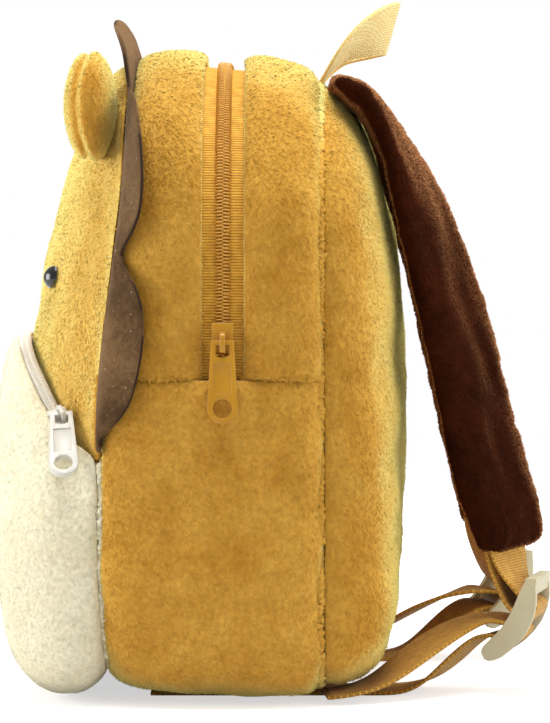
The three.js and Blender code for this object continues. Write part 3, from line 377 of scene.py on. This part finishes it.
def plush_finish(name, light, dark, painted_sheen_colour, glow, sheen, depth, edge=0.3, bloom=0.42, patches=45.0, gloss=0.15):
    """Plush with painted shade that darkens it between its tufts, and a painted sheen that turns it to a paler
    tip colour where it is seen edge on.
    """
    finish, tree, shader = finish_with(name, Roughness=0.92, Sheen_Weight=sheen, Sheen_Roughness=bloom,
                                       Sheen_Tint=colour(glow), Specular_IOR_Level=gloss)
    height = node(tree, "ShaderNodeAttribute", {"attribute_name": "tuft_height"}).outputs["Fac"]
    mottle = node(tree, "ShaderNodeGroup", {"node_tree": pile_mottle}, Light=colour(light), Dark=colour(dark),
                  Patches=patches, Height=height, Depth=depth)
    bump = node(tree, "ShaderNodeBump", Strength=0.35, Distance=0.0006, Height=mottle.outputs["Grain"])
    # Painted sheen: seen edge on, the colour turns towards a paler sheen colour, less on the bare cloth than on
    # the tufts.
    painted_sheen_share = node(tree, "ShaderNodeLayerWeight", Blend=0.5).outputs["Facing"]
    tuft = node(tree, "ShaderNodeMapRange", Value=height, From_Max=0.1, To_Min=0.6, To_Max=0.95).outputs[0]
    painted_sheen_share = node(tree, "ShaderNodeMapRange", {"interpolation_type": "SMOOTHSTEP"}, Value=painted_sheen_share, From_Min=edge,
                   To_Max=tuft).outputs[0]
    painted_sheen_mix = node(tree, "ShaderNodeMix", {"data_type": "RGBA"}, i0=painted_sheen_share, i6=mottle.outputs["Color"],
                  i7=colour(painted_sheen_colour))
    tree.links.new(painted_sheen_mix.outputs[2], shader.inputs["Base Color"])
    tree.links.new(bump.outputs[0], shader.inputs["Normal"])
    return finish


def sew_on(piece, name, body="bag"):
    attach(piece, body)
    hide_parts(name)


def grow_on(pile):
    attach(pile, "bag")


# Painted light in the plush: depth sets the painted shade between the tufts, and the third colour is the painted
# sheen seen edge on.
mustard_plush = plush_finish("mustard_plush", "E1AB49", "C88E31", "EFE287", "F4F4A0", 0.6, depth=0.9)
out_of_bag = out_of(SHELL_CORE)


def face_bare(points):
    eyes = np.hypot(np.abs(points[:, 0]) - EYES["across"], points[:, 2] - EYES["height"]) < EYES["bare"]
    return eyes | (points[:, 2] < np.interp(np.abs(points[:, 0]), *POCKET_EDGE))


def under_bag(points):
    return points[:, 2] < FLOOR_BARE


for name, cut in SHELL.items():
    cloth = cut_and_sewn(name, name + "_plush", mustard_plush)
    points = points_of(cloth.data)
    dents = dents_at(points, SHELL_DENTS)
    dents -= seam_dip(points, {other for seam in SEAMS if name in seam for other in seam} - {name})
    place_points(cloth.data, points + dents[:, None] * out_of_bag(points))
    pile = pile_on(cloth, mustard_plush, out_of_bag, cut["seed"], **SHORT_PILE,
                   bare=face_bare if name == "front_panel" else under_bag, turned=0.25)
    sew_on(cloth, name)
    grow_on(pile)
for number, (near, far) in enumerate(SEAMS):
    seam = pile_in_seam(f"seam_{near}_{far}", near, far, out_of_bag, mustard_plush, SEAM_PILE["seed"] + number,
                        SEAM_REACH["front" if near == "front_panel" else "edge"])
    grow_on(seam)

# The main zip: a mustard woven tape on each side of a coil of nylon loops, sewn under the turned edges of the
# two upper gusset strips, and a cast slider with its long pull. It runs over the top from side to side.
TAPE = {"flat": (0.0118, 0.41), "step": 0.003, "tucked": 0.0025}
BAND_SIDE = [(-1, 0, 0), (-1, 0.3, 0.7), (-1, 0.9, 1), (-0.5, 0, 1), (0, 0, 1), (0.5, 0, 1), (1, -0.9, 1),
             (1, -0.3, 0.7), (1, 0, 0)]
BAR_TURN = {"half": 2, "cosine": 0.3, "kept": 7}
COIL = {"pitch": 0.0014, "wire": 0.00036, "slant": 0.3, "sides": 5}
COIL_LOOP = ((2.85, -0.9), (2.8, 0.1), (2.2, 0.85), (1.1, 1.05), (0.1, 0.9), (-0.3, 0.3), (-0.1, -0.5))
SOFTENED = {"segments": 2, "from": math.radians(38), "sharp": math.radians(42)}
ZIP_EDGES = {"slider": 0.00035, "pull": 0.0005}


def strip_of(name, first=None):
    """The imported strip's stations: middle, way across, half width and half thickness.

    They start from the end whose points first puts lowest, or from whichever end is found."""
    bm = bmesh.new()
    bm.from_mesh(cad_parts[name].data)
    bmesh.ops.remove_doubles(bm, verts=bm.verts, dist=1e-5)
    bm.normal_update()
    if first:
        ring = set(sorted(bm.verts, key=first)[:4])
    else:
        ring = {next(v for v in bm.verts if len(v.link_faces) == 4 and all(
            f.normal.dot(v.link_faces[0].normal) > 0.9999 for f in v.link_faces))}
    passed, rings = set(ring), []
    while ring:
        if len(ring) > 1:
            rings.append(np.array(sorted(tuple(v.co) for v in ring)))
        ring = {e.other_vert(v) for v in ring for e in v.link_edges} - passed
        passed |= ring
    bm.free()
    middles, acrosses, sizes = [], [], []
    for ring in rings:
        offsets = ring - ring.mean(0)
        across, up = np.linalg.svd(offsets)[2][:2]
        if acrosses and across @ acrosses[-1] < 0:
            across = -across
        middles.append(ring.mean(0))
        acrosses.append(across)
        sizes.append((np.abs(offsets @ across).max(), np.abs(offsets @ up).max()))
    return np.array(middles), np.array(acrosses), np.array(sizes)


def sewn_in(strip, depth):
    """The strip with both its ends run on, into the seam that holds them."""
    middles, acrosses, sizes = strip
    before, after = (middles[i] + depth * unit(middles[i] - middles[j]) for i, j in ((0, 1), (-1, -2)))
    kept = [0, *range(len(middles)), -1]
    return np.concatenate([[before], middles, [after]]), acrosses[kept], sizes[kept]


def smooth_run(strip, step, ease=0):
    """The strip's stations at even steps along a smooth line, with the way up from it and its length so far.

    With ease, the run is evened out over that many steps to each side, apart from a turn about a bar."""
    middles, acrosses, sizes = strip
    t = np.linspace(0, len(middles) - 1.000001, 16 * len(middles))
    i, f = t.astype(int), (t % 1)[:, None]
    longer = np.concatenate([[2 * middles[0] - middles[1]], middles, [2 * middles[-1] - middles[-2]]])
    a, b, c, d = (longer[i + k] for k in range(4))
    dense = 0.5 * (2 * b + (c - a) * f + (2 * a - 5 * b + 4 * c - d) * f ** 2 + (3 * b - a - 3 * c + d) * f ** 3)
    far = np.concatenate([[0], np.cumsum(np.linalg.norm(np.diff(dense, axis=0), axis=1))])
    even = np.linspace(0, far[-1], max(2, round(far[-1] / step) + 1))
    at = np.interp(even, far, t)
    stations = np.arange(len(middles))

    def between(values):
        return np.stack([np.interp(at, stations, values[:, k]) for k in range(values.shape[1])], axis=1)

    line = np.stack([np.interp(even, far, dense[:, k]) for k in range(3)], axis=1)
    way = unit(np.gradient(line, axis=0))
    across = between(acrosses)
    across = unit(across - (across * way).sum(1, keepdims=True) * way)
    if ease:
        window = np.hanning(2 * ease + 3)[1:-1]

        def evened(values):
            longer = np.pad(values, ((ease, ease), (0, 0)), mode="reflect", reflect_type="odd")
            means = [np.convolve(column, window / window.sum(), mode="valid") for column in longer.T]
            return np.stack(means, axis=1)

        half = BAR_TURN["half"]
        tight = np.pad((way[2 * half:] * way[:-2 * half]).sum(1) < BAR_TURN["cosine"], half)
        free = np.convolve(tight, np.ones(BAR_TURN["kept"]), mode="same") < 0.5
        line = line + evened(free[:, None].astype(float)) * (evened(line) - line)
        way = unit(np.gradient(line, axis=0))
        across = evened(across)
        across = unit(across - (across * way).sum(1, keepdims=True) * way)
    return line, way, across, np.cross(across, way), between(sizes), even


def tube_faces(start, steps, sides):
    """The walls and both ends of a tube whose rings of points begin at start."""
    rings = [[start + i * sides + k for k in range(sides)] for i in range(steps)]
    walls = [(near[k], near[(k + 1) % sides], far[(k + 1) % sides], far[k])
             for near, far in zip(rings, rings[1:]) for k in range(sides)]
    return walls + [tuple(reversed(rings[0])), tuple(rings[-1])]


def woven_band(label, run, finish):
    """A woven band with rounded selvedges along a run. Its weave map is in metres, along and across."""
    line, _, across, up, sizes, far = run
    section = BAND_SIDE + [(a, b, -c) for a, b, c in reversed(BAND_SIDE[1:-1])]
    overs, points = [], []
    for a, b, c in section:
        over = a * sizes[:, 0] + b * sizes[:, 1]
        overs.append(over)
        points.append(line + over[:, None] * across + (c * sizes[:, 1])[:, None] * up)
    rounds = len(section)
    overs, points = np.stack(overs, axis=1).ravel(), np.stack(points, axis=1).reshape(-1, 3)
    faces = tube_faces(0, len(line), rounds)
    mesh = bpy.data.meshes.new(label)
    mesh.from_pydata(points.tolist(), [], faces)
    bm = bmesh.new()
    bm.from_mesh(mesh)
    bmesh.ops.recalc_face_normals(bm, faces=bm.faces)
    weave = bm.loops.layers.uv.new("weave")
    for face in bm.faces:
        for loop in face.loops:
            loop[weave].uv = (far[loop.vert.index // rounds], overs[loop.vert.index])
    bm.to_mesh(mesh)
    bm.free()
    mesh.shade_smooth()
    return piece_from(label, mesh, finish)


def tubes(label, paths, radius, finish):
    """Many short thin rods in one mesh, each along its own points."""
    paths = np.asarray(paths)
    count, steps = paths.shape[:2]
    sides = COIL["sides"]
    way = unit(np.gradient(paths, axis=1))
    level = np.broadcast_to(unit(np.cross(way[:, :1], way[:, -1:]) + 1e-6), way.shape)
    side = unit(np.cross(way, level))
    turn = np.arange(sides) * 2 * math.pi / sides
    over = np.cross(way, side)
    ring = np.cos(turn)[:, None] * side[:, :, None, :] + np.sin(turn)[:, None] * over[:, :, None, :]
    points = (paths[:, :, None, :] + radius * ring).reshape(-1, 3)
    faces = [face for n in range(count) for face in tube_faces(n * steps * sides, steps, sides)]
    mesh = bpy.data.meshes.new(label)
    mesh.from_pydata(points.tolist(), [], faces)
    mesh.shade_smooth()
    return piece_from(label, mesh, finish)


def coil_chain(label, run, finish, size=1.0):
    """The two meshed coils of a zip, a row of nylon loops on each side of its middle."""
    line, way, across, up = run[:4]
    paths = []
    for first, side in ((1, 1), (0, -1)):
        for n in range(first, len(line) - 1, 2):
            paths.append([line[n] + size * 0.001 * (side * a * across[n] + h * up[n])
                          + COIL["pitch"] * (COIL["slant"] * s / len(COIL_LOOP)) * way[n]
                          for s, (a, h) in enumerate(COIL_LOOP)])
    return tubes(label, paths, size * COIL["wire"], finish)


weave_lines, given, result = effect(
    "weave_lines",
    [("Map", "Vector", (0, 0, 0)), ("Yarn", "Float", 1.6), ("Pick", "Float", 1.1),
     ("Light", "Color", WHITE), ("Dark", "Color", BLACK)],
    [("Color", "Color"), ("Height", "Float")])
split = node(weave_lines, "ShaderNodeSeparateXYZ", i0=given["Map"]).outputs
swapped = node(weave_lines, "ShaderNodeCombineXYZ", X=split[1], Y=split[0]).outputs[0]
in_mm = node(weave_lines, "ShaderNodeVectorMath", {"operation": "SCALE"}, i0=swapped, Scale=1000.0).outputs[0]
off_middle = node(weave_lines, "ShaderNodeMath", {"operation": "MULTIPLY"}, i0=given["Yarn"],
                  i1=0.25).outputs[0]
off_middle = node(weave_lines, "ShaderNodeCombineXYZ", X=off_middle).outputs[0]
in_mm = node(weave_lines, "ShaderNodeVectorMath", {"operation": "ADD"}, i0=in_mm, i1=off_middle).outputs[0]
yarns = node(weave_lines, "ShaderNodeTexBrick", Vector=in_mm, Color1=WHITE, Color2=(0.8, 0.8, 0.8, 1),
             Mortar=BLACK, Scale=1.0, Mortar_Size=0.3, Mortar_Smooth=1.0, Brick_Width=given["Yarn"],
             Row_Height=given["Pick"])
fade = node(weave_lines, "ShaderNodeTexNoise", Vector=in_mm, Scale=0.25, Detail=3.0).outputs[0]
level = node(weave_lines, "ShaderNodeMath", {"operation": "MULTIPLY"}, i0=fade,
             i1=yarns.outputs["Color"]).outputs[0]
level = node(weave_lines, "ShaderNodeMapRange", Value=level, From_Min=0.05, From_Max=0.6).outputs[0]
dyed = node(weave_lines, "ShaderNodeMix", {"data_type": "RGBA"}, i0=level, i6=given["Dark"],
            i7=given["Light"]).outputs[2]
weave_lines.links.new(dyed, result["Color"])
weave_lines.links.new(yarns.outputs["Color"], result["Height"])


def woven_finish(name, light, dark, yarn, pick, lengthwise=False):
    """Woven cloth: yarn and pick are the two sizes of a thread's showing part, in millimetres."""
    finish, tree, shader = finish_with(name, Roughness=0.72, Sheen_Weight=0.15, Sheen_Roughness=0.4,
                                       Specular_IOR_Level=0.3)
    map_place = node(tree, "ShaderNodeUVMap", {"uv_map": "weave"}).outputs[0]
    if lengthwise:
        parts = node(tree, "ShaderNodeSeparateXYZ", i0=map_place).outputs
        map_place = node(tree, "ShaderNodeCombineXYZ", X=parts[1], Y=parts[0]).outputs[0]
    lines = node(tree, "ShaderNodeGroup", {"node_tree": weave_lines}, Map=map_place, Yarn=yarn, Pick=pick,
                 Light=colour(light), Dark=colour(dark))
    bump = node(tree, "ShaderNodeBump", Strength=0.7, Distance=0.0004, Height=lines.outputs["Height"])
    tree.links.new(lines.outputs["Color"], shader.inputs["Base Color"])
    tree.links.new(bump.outputs[0], shader.inputs["Normal"])
    return finish


moulding_marks, given, result = effect(
    "moulding_marks",
    [("Light", "Color", WHITE), ("Dark", "Color", BLACK), ("Shine", "Float", 0.35)],
    [("Color", "Color"), ("Roughness", "Float"), ("Height", "Float")])
place = node(moulding_marks, "ShaderNodeTexCoord").outputs["Object"]
flow = node(moulding_marks, "ShaderNodeTexNoise", Vector=place, Scale=90.0, Detail=4.0).outputs[0]
skin = node(moulding_marks, "ShaderNodeTexNoise", Vector=place, Scale=1400.0, Detail=2.0).outputs[0]
tint = node(moulding_marks, "ShaderNodeMix", {"data_type": "RGBA"}, i0=flow, i6=given["Dark"], i7=given["Light"])
rub = node(moulding_marks, "ShaderNodeMapRange", Value=flow, From_Min=0.3, From_Max=0.7, To_Min=-0.08, To_Max=0.1)
worn = node(moulding_marks, "ShaderNodeMath", {"operation": "ADD"}, i0=given["Shine"], i1=rub.outputs[0])
moulding_marks.links.new(tint.outputs[2], result["Color"])
moulding_marks.links.new(worn.outputs[0], result["Roughness"])
moulding_marks.links.new(skin, result["Height"])


def moulded_finish(name, light, dark, shine, coat=0.0):
    """Plastic or painted metal with faint flow marks and an uneven shine."""
    finish, tree, shader = finish_with(name, Coat_Weight=coat, Coat_Roughness=0.2)
    marks = node(tree, "ShaderNodeGroup", {"node_tree": moulding_marks}, Light=colour(light), Dark=colour(dark),
                 Shine=shine)
    bump = node(tree, "ShaderNodeBump", Strength=0.12, Distance=0.0002, Height=marks.outputs["Height"])
    for label in ("Color", "Roughness"):
        tree.links.new(marks.outputs[label], shader.inputs["Base Color" if label == "Color" else label])
    tree.links.new(bump.outputs[0], shader.inputs["Normal"])
    return finish


def moulded(name, label, finish, edge):
    """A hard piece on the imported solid, with its edges softened."""
    bm = bmesh.new()
    bm.from_mesh(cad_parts[name].data)
    bmesh.ops.remove_doubles(bm, verts=bm.verts, dist=1e-5)
    bmesh.ops.dissolve_limit(bm, angle_limit=math.radians(1), verts=bm.verts, edges=bm.edges)
    mesh = bpy.data.meshes.new(label)
    bm.to_mesh(mesh)
    bm.free()
    piece = piece_from(label, mesh, finish)
    softened = piece.modifiers.new("softened", "BEVEL")
    softened.width, softened.segments, softened.angle_limit = edge, SOFTENED["segments"], SOFTENED["from"]
    softened.limit_method = "ANGLE"
    applied(piece)
    piece.data.set_sharp_from_angle(angle=SOFTENED["sharp"])
    return piece


def right_end_low(vert):
    """Puts the lowest points of the right side first."""
    return vert.co.z - (vert.co.x > 0)


def turned_over(run):
    line, way, across, up, sizes, far = run
    return line, way, -across, -up, sizes, far


mustard_tape = woven_finish("mustard_tape", "FFC548", "BC7E1C", 30.0, 1.15)
mustard_coil = moulded_finish("mustard_coil", "E8B14B", "CA8E31", 0.42)
mustard_cast = moulded_finish("mustard_cast", "C68E16", "B27A0E", 0.3, coat=0.2)
for name in ("zip_tape_front", "zip_tape_back"):
    strip = sewn_in(strip_of(name, right_end_low), TAPE["tucked"])
    tape = woven_band(name + "_woven", smooth_run(strip, TAPE["step"]), mustard_tape)
    sew_on(tape, name)
zip_run = smooth_run(strip_of("zip_chain", right_end_low), COIL["pitch"] / 2)
if (zip_run[3] * out_of_bag(zip_run[0])).sum() < 0:
    zip_run = turned_over(zip_run)
sew_on(coil_chain("zip_chain_coils", zip_run, mustard_coil), "zip_chain")
slider = moulded("zip_slider", "zip_slider_cast", mustard_cast, ZIP_EDGES["slider"])
sew_on(slider, "zip_slider")
pull = moulded("zip_pull", "zip_pull_cast", mustard_cast, ZIP_EDGES["pull"])
sew_on(pull, "zip_pull", "zip_pull")

# The front pocket: a cream plush panel with an arched top, cut fuller than the face so that it stands out like
# a cheek, and sewn to the face along its sides and bottom.
POCKET_CORE = ((-0.06, -0.09, 0.03), (0.06, -0.085, 0.1))
POCKET_DENTS = [{"depth": 0.0007, "size": 0.045, "seed": 31}, {"depth": 0.0003, "size": 0.016, "seed": 32}]
POCKET_PILE = {"seed": 6, "per_mm2": 0.96, "height": 0.0003, "spread": 0.0008, "lean": 0.0007}
POCKET_SEAM_SEED = 70
# The cream plush has the same painted shade between its tufts and painted sheen seen edge on.
cream_plush = plush_finish("cream_plush", "EFE8CB", "E8DEBC", "E8E0C4", "FFFFFF", 0.1, depth=0.95)
out_of_pocket = out_of(POCKET_CORE)
pocket = cut_and_sewn("pocket_panel", "pocket_panel_plush", cream_plush)
points = points_of(pocket.data)
place_points(pocket.data, points + dents_at(points, POCKET_DENTS)[:, None] * out_of_pocket(points))
pile = pile_on(pocket, cream_plush, out_of_pocket, **POCKET_PILE, bare=under_bag)
sew_on(pocket, "pocket_panel")
grow_on(pile)
seam = pile_in_seam("seam_pocket_panel_gusset_lower", "pocket_panel", "gusset_lower", out_of_bag, cream_plush,
                    POCKET_SEAM_SEED, SEAM_REACH["front"])
grow_on(seam)

# The pocket's zip: narrow white tapes and a finer white coil along the arch, between the face and the
# pocket's top edge, with a smaller slider and a white pull.
POCKET_COIL_SIZE, POCKET_TAPE_STEP = 0.78, 0.002
POCKET_ZIP_EDGES = {"slider": 0.0003, "pull": 0.00025}


def right_end(vert):
    return -vert.co.x


white_tape = woven_finish("white_tape", "FBF8EF", "EAE3D2", 0.8, 0.55)
white_coil = moulded_finish("white_coil", "FDFAF2", "F0EADD", 0.42)
white_cast = moulded_finish("white_cast", "D6D4CA", "CAC6BA", 0.36, coat=0.12)
for name in ("pocket_tape_back", "pocket_tape_front"):
    run = smooth_run(strip_of(name, right_end), POCKET_TAPE_STEP)
    tape = woven_band(name + "_woven", run, white_tape)
    sew_on(tape, name)
pocket_run = smooth_run(strip_of("pocket_chain", right_end), COIL["pitch"] * POCKET_COIL_SIZE / 2)
if pocket_run[3][len(pocket_run[3]) // 2][2] < 0:
    pocket_run = turned_over(pocket_run)
coils = coil_chain("pocket_chain_coils", pocket_run, white_coil, POCKET_COIL_SIZE)
sew_on(coils, "pocket_chain")
slider = moulded("pocket_slider", "pocket_slider_cast", white_cast, POCKET_ZIP_EDGES["slider"])
sew_on(slider, "pocket_slider")
pull = moulded("pocket_pull", "pocket_pull_cast", white_cast, POCKET_ZIP_EDGES["pull"])
sew_on(pull, "pocket_pull", "pocket_pull")

# The mane: one strip of brown wool felt cut in scallops, with its straight edge caught in the seam round the
# face. Felt has no weave: matted fibres, pale flecks, and a darker cut edge.
FELT, MANE_CUT = 0.002, {"flat": (0.0225, 0.45), "area": 0.0089}


def cut_edge(bm):
    """Marks the faces that cross the felt's thickness, which have more felt behind them than it is thick."""
    bm.normal_update()
    felt = BVHTree.FromBMesh(bm)
    marked = bm.faces.layers.float.new("cut_edge")
    for face in bm.faces:
        hit = felt.ray_cast(face.calc_center_median() - 1e-5 * face.normal, -face.normal)
        face[marked] = hit[3] is not None and hit[3] > 1.6 * FELT


brown_felt, tree, shader = finish_with("brown_felt", Roughness=0.95, Sheen_Weight=0.3, Sheen_Roughness=0.5,
                                       Sheen_Tint=colour("D8B894"), Specular_IOR_Level=0.1)
place = node(tree, "ShaderNodeTexCoord").outputs["Object"]
matted = node(tree, "ShaderNodeTexNoise", Vector=place, Scale=260.0, Detail=6.0, Roughness=0.75, Distortion=1.2)
cloudy = node(tree, "ShaderNodeTexNoise", Vector=place, Scale=40.0, Detail=3.0).outputs[0]
mixed = node(tree, "ShaderNodeMath", {"operation": "MULTIPLY"}, i0=matted.outputs[0], i1=cloudy).outputs[0]
mixed = node(tree, "ShaderNodeMapRange", Value=mixed, From_Min=0.14, From_Max=0.38).outputs[0]
fibres = node(tree, "ShaderNodeMix", {"data_type": "RGBA"}, i0=mixed, i6=colour("47321E"),
              i7=colour("745839")).outputs[2]
flecks = node(tree, "ShaderNodeTexNoise", Vector=place, Scale=900.0, Detail=1.0).outputs[0]
flecks = node(tree, "ShaderNodeMapRange", Value=flecks, From_Min=0.74, From_Max=0.8).outputs[0]
flecked = node(tree, "ShaderNodeMix", {"data_type": "RGBA"}, i0=flecks, i6=fibres, i7=colour("C9B299")).outputs[2]
bump = node(tree, "ShaderNodeBump", Strength=0.6, Distance=0.0006, Height=matted.outputs[0]).outputs[0]
edge = node(tree, "ShaderNodeAttribute", {"attribute_name": "cut_edge"}).outputs["Fac"]
edged = node(tree, "ShaderNodeMix", {"data_type": "RGBA"}, i0=edge, i6=flecked, i7=colour("33241A")).outputs[2]
tree.links.new(edged, shader.inputs["Base Color"])
tree.links.new(bump, shader.inputs["Normal"])
mane = cut_and_sewn("mane", "mane_felt", brown_felt, prepare=cut_edge)
sew_on(mane, "mane")

# The ears: two plush panels each, sewn round, turned and stuffed, then sewn to the top of the face. The seam
# runs round each ear as a groove that bows forward at mid height.
EAR = {"y": -0.07425, "z": 0.245, "half_height": 0.024, "core": 0.002, "seed": 11}
EAR_SEAM = {"bow": 0.0047, "depth": 0.0022, "width": 0.0017, "bare": 0.0006}


def ear_seam_offset(points):
    up = (points[:, 2] - EAR["z"]) / EAR["half_height"]
    return points[:, 1] - EAR["y"] + EAR_SEAM["bow"] * (1 - up ** 2)


def ear_bare(points):
    return np.abs(ear_seam_offset(points)) < EAR_SEAM["bare"]


for number, side in enumerate(("right", "left")):
    name = "ear_" + side
    ear = cut_and_sewn(name, name + "_plush", mustard_plush, levels=3)
    points = points_of(ear.data)
    middle = points.mean(0)
    out_of_ear = out_of((middle - EAR["core"], middle + EAR["core"]))
    pinch = EAR_SEAM["depth"] * np.exp(-(ear_seam_offset(points) / EAR_SEAM["width"]) ** 2)
    place_points(ear.data, points - pinch[:, None] * out_of_ear(points))
    pile = pile_on(ear, mustard_plush, out_of_ear, EAR["seed"] + number, **SHORT_PILE, bare=ear_bare)
    sew_on(ear, name)
    grow_on(pile)

# The eyes: safety eyes, low domes moulded in hard black plastic with a high gloss. Each has a shank that is
# pressed through the face and locked behind it, so the plush closes in round its rim.
black_eye = moulded_finish("black_eye", "0B0909", "050404", 0.12, coat=1.0)
for side in ("right", "left"):
    eye = cut_and_sewn("eye_" + side, "eye_" + side + "_dome", black_eye)
    sew_on(eye, "eye_" + side)

# The shoulder straps: tubes of dark brown plush filled with foam, set in the top of the back seam and
# curving out and down to a rounded end. The pile lies down the strap and has a painted tan sheen, with the
# shader's own sheen, where it is seen edge on.
STRAP_PILE = {"per_mm2": 0.96, "height": 0.0005, "spread": 0.0008, "lean": 0.0008}
PAD_DENTS = [{"depth": 0.0006, "size": 0.03, "seed": 41}, {"depth": 0.0003, "size": 0.012, "seed": 42}]
PAD = {"root": 0.251, "rounds": 2, "pull": 0.4, "seed": 21}
NEAREST = {"batch": 2000, "skip": 3}
# The brown plush has deeper painted shade between its tufts (depth) and a tan painted sheen seen edge on.
brown_plush = plush_finish("brown_plush", "421A08", "2C1004", "BE8456", "E8A068", 0.2, edge=0.42, bloom=0.3,
                           patches=60.0, depth=0.7, gloss=0.03)


def eased(bm):
    """Rounds off the filled tube's edges and its lower end; the root stays in its seam."""
    free = [v for v in bm.verts if v.co.z < PAD["root"]]
    for _ in range(PAD["rounds"]):
        bmesh.ops.smooth_vert(bm, verts=free, factor=PAD["pull"], use_axis_x=True, use_axis_y=True,
                              use_axis_z=True)


def ways_near(points, ways):
    """The way out at the nearest of a surface's points, tried at every few of them."""
    tried, tried_ways = points[::NEAREST["skip"]], ways[::NEAREST["skip"]]

    def nearest(middles):
        batches = np.array_split(middles, math.ceil(len(middles) / NEAREST["batch"]))
        return np.concatenate([tried_ways[((batch[:, None] - tried) ** 2).sum(2).argmin(1)] for batch in batches])

    return nearest


for number, side in enumerate(("right", "left")):
    name = "strap_pad_" + side
    pad = cut_and_sewn(name, name + "_plush", brown_plush, prepare=eased)
    points, ways = points_of(pad.data), ways_of(pad.data)
    place_points(pad.data, points + dents_at(points, PAD_DENTS)[:, None] * ways)
    pile = pile_on(pad, brown_plush, ways_near(points, ways), PAD["seed"] + number, **STRAP_PILE)
    sew_on(pad, name)
    grow_on(pile)

# The webbing: mustard polypropylene with fine cross ribs. A short loop joins each pad to its adjuster, and a
# longer run goes from the bag's lower corner up round the adjuster's bar, with its free tail lying on the table.
WEBBING_STEP, WEBBING_EASE = 0.0025, 5
WEBBING = {"strap_loop_": {"flat": (0.025, 0.0845), "tucked": 0.008}, "strap_web_": {"flat": (0.025, 0.279)}}
mustard_webbing = woven_finish("mustard_webbing", "E0AC4A", "AA7826", 1.7, 1.15)
for side in ("right", "left"):
    for part, cut in WEBBING.items():
        name = part + side
        strip = strip_of(name)
        if "tucked" in cut:
            strip = sewn_in(strip, cut["tucked"])
        band = woven_band(name + "_woven", smooth_run(strip, WEBBING_STEP, WEBBING_EASE), mustard_webbing)
        sew_on(band, name)

# The hang loop: a ribbon of softer webbing with fine lengthwise lines, folded double and caught in the back
# seam between the straps.
HANG_LOOP = {"flat": (0.024, 0.113), "tucked": 0.004}
ribbon = woven_finish("mustard_ribbon", "FFEDAA", "EEC876", 2.4, 1.2, lengthwise=True)
strip = sewn_in(strip_of("handle_loop"), HANG_LOOP["tucked"])
band = woven_band("handle_loop_woven", smooth_run(strip, WEBBING_STEP), ribbon)
sew_on(band, "handle_loop")

# The adjusters: curved ladder locks moulded in tan plastic, with three slots, two bars and deep side rails. The
# pad's loop holds one bar and the longer webbing runs round the other. All edges are softened by the mould.
LOCK_EDGE = 0.0007
tan_plastic = moulded_finish("tan_plastic", "CFC6A4", "B5A983", 0.36, coat=0.1)
for side in ("right", "left"):
    name = "ladder_lock_" + side
    sew_on(moulded(name, name + "_moulded", tan_plastic, LOCK_EDGE), name)
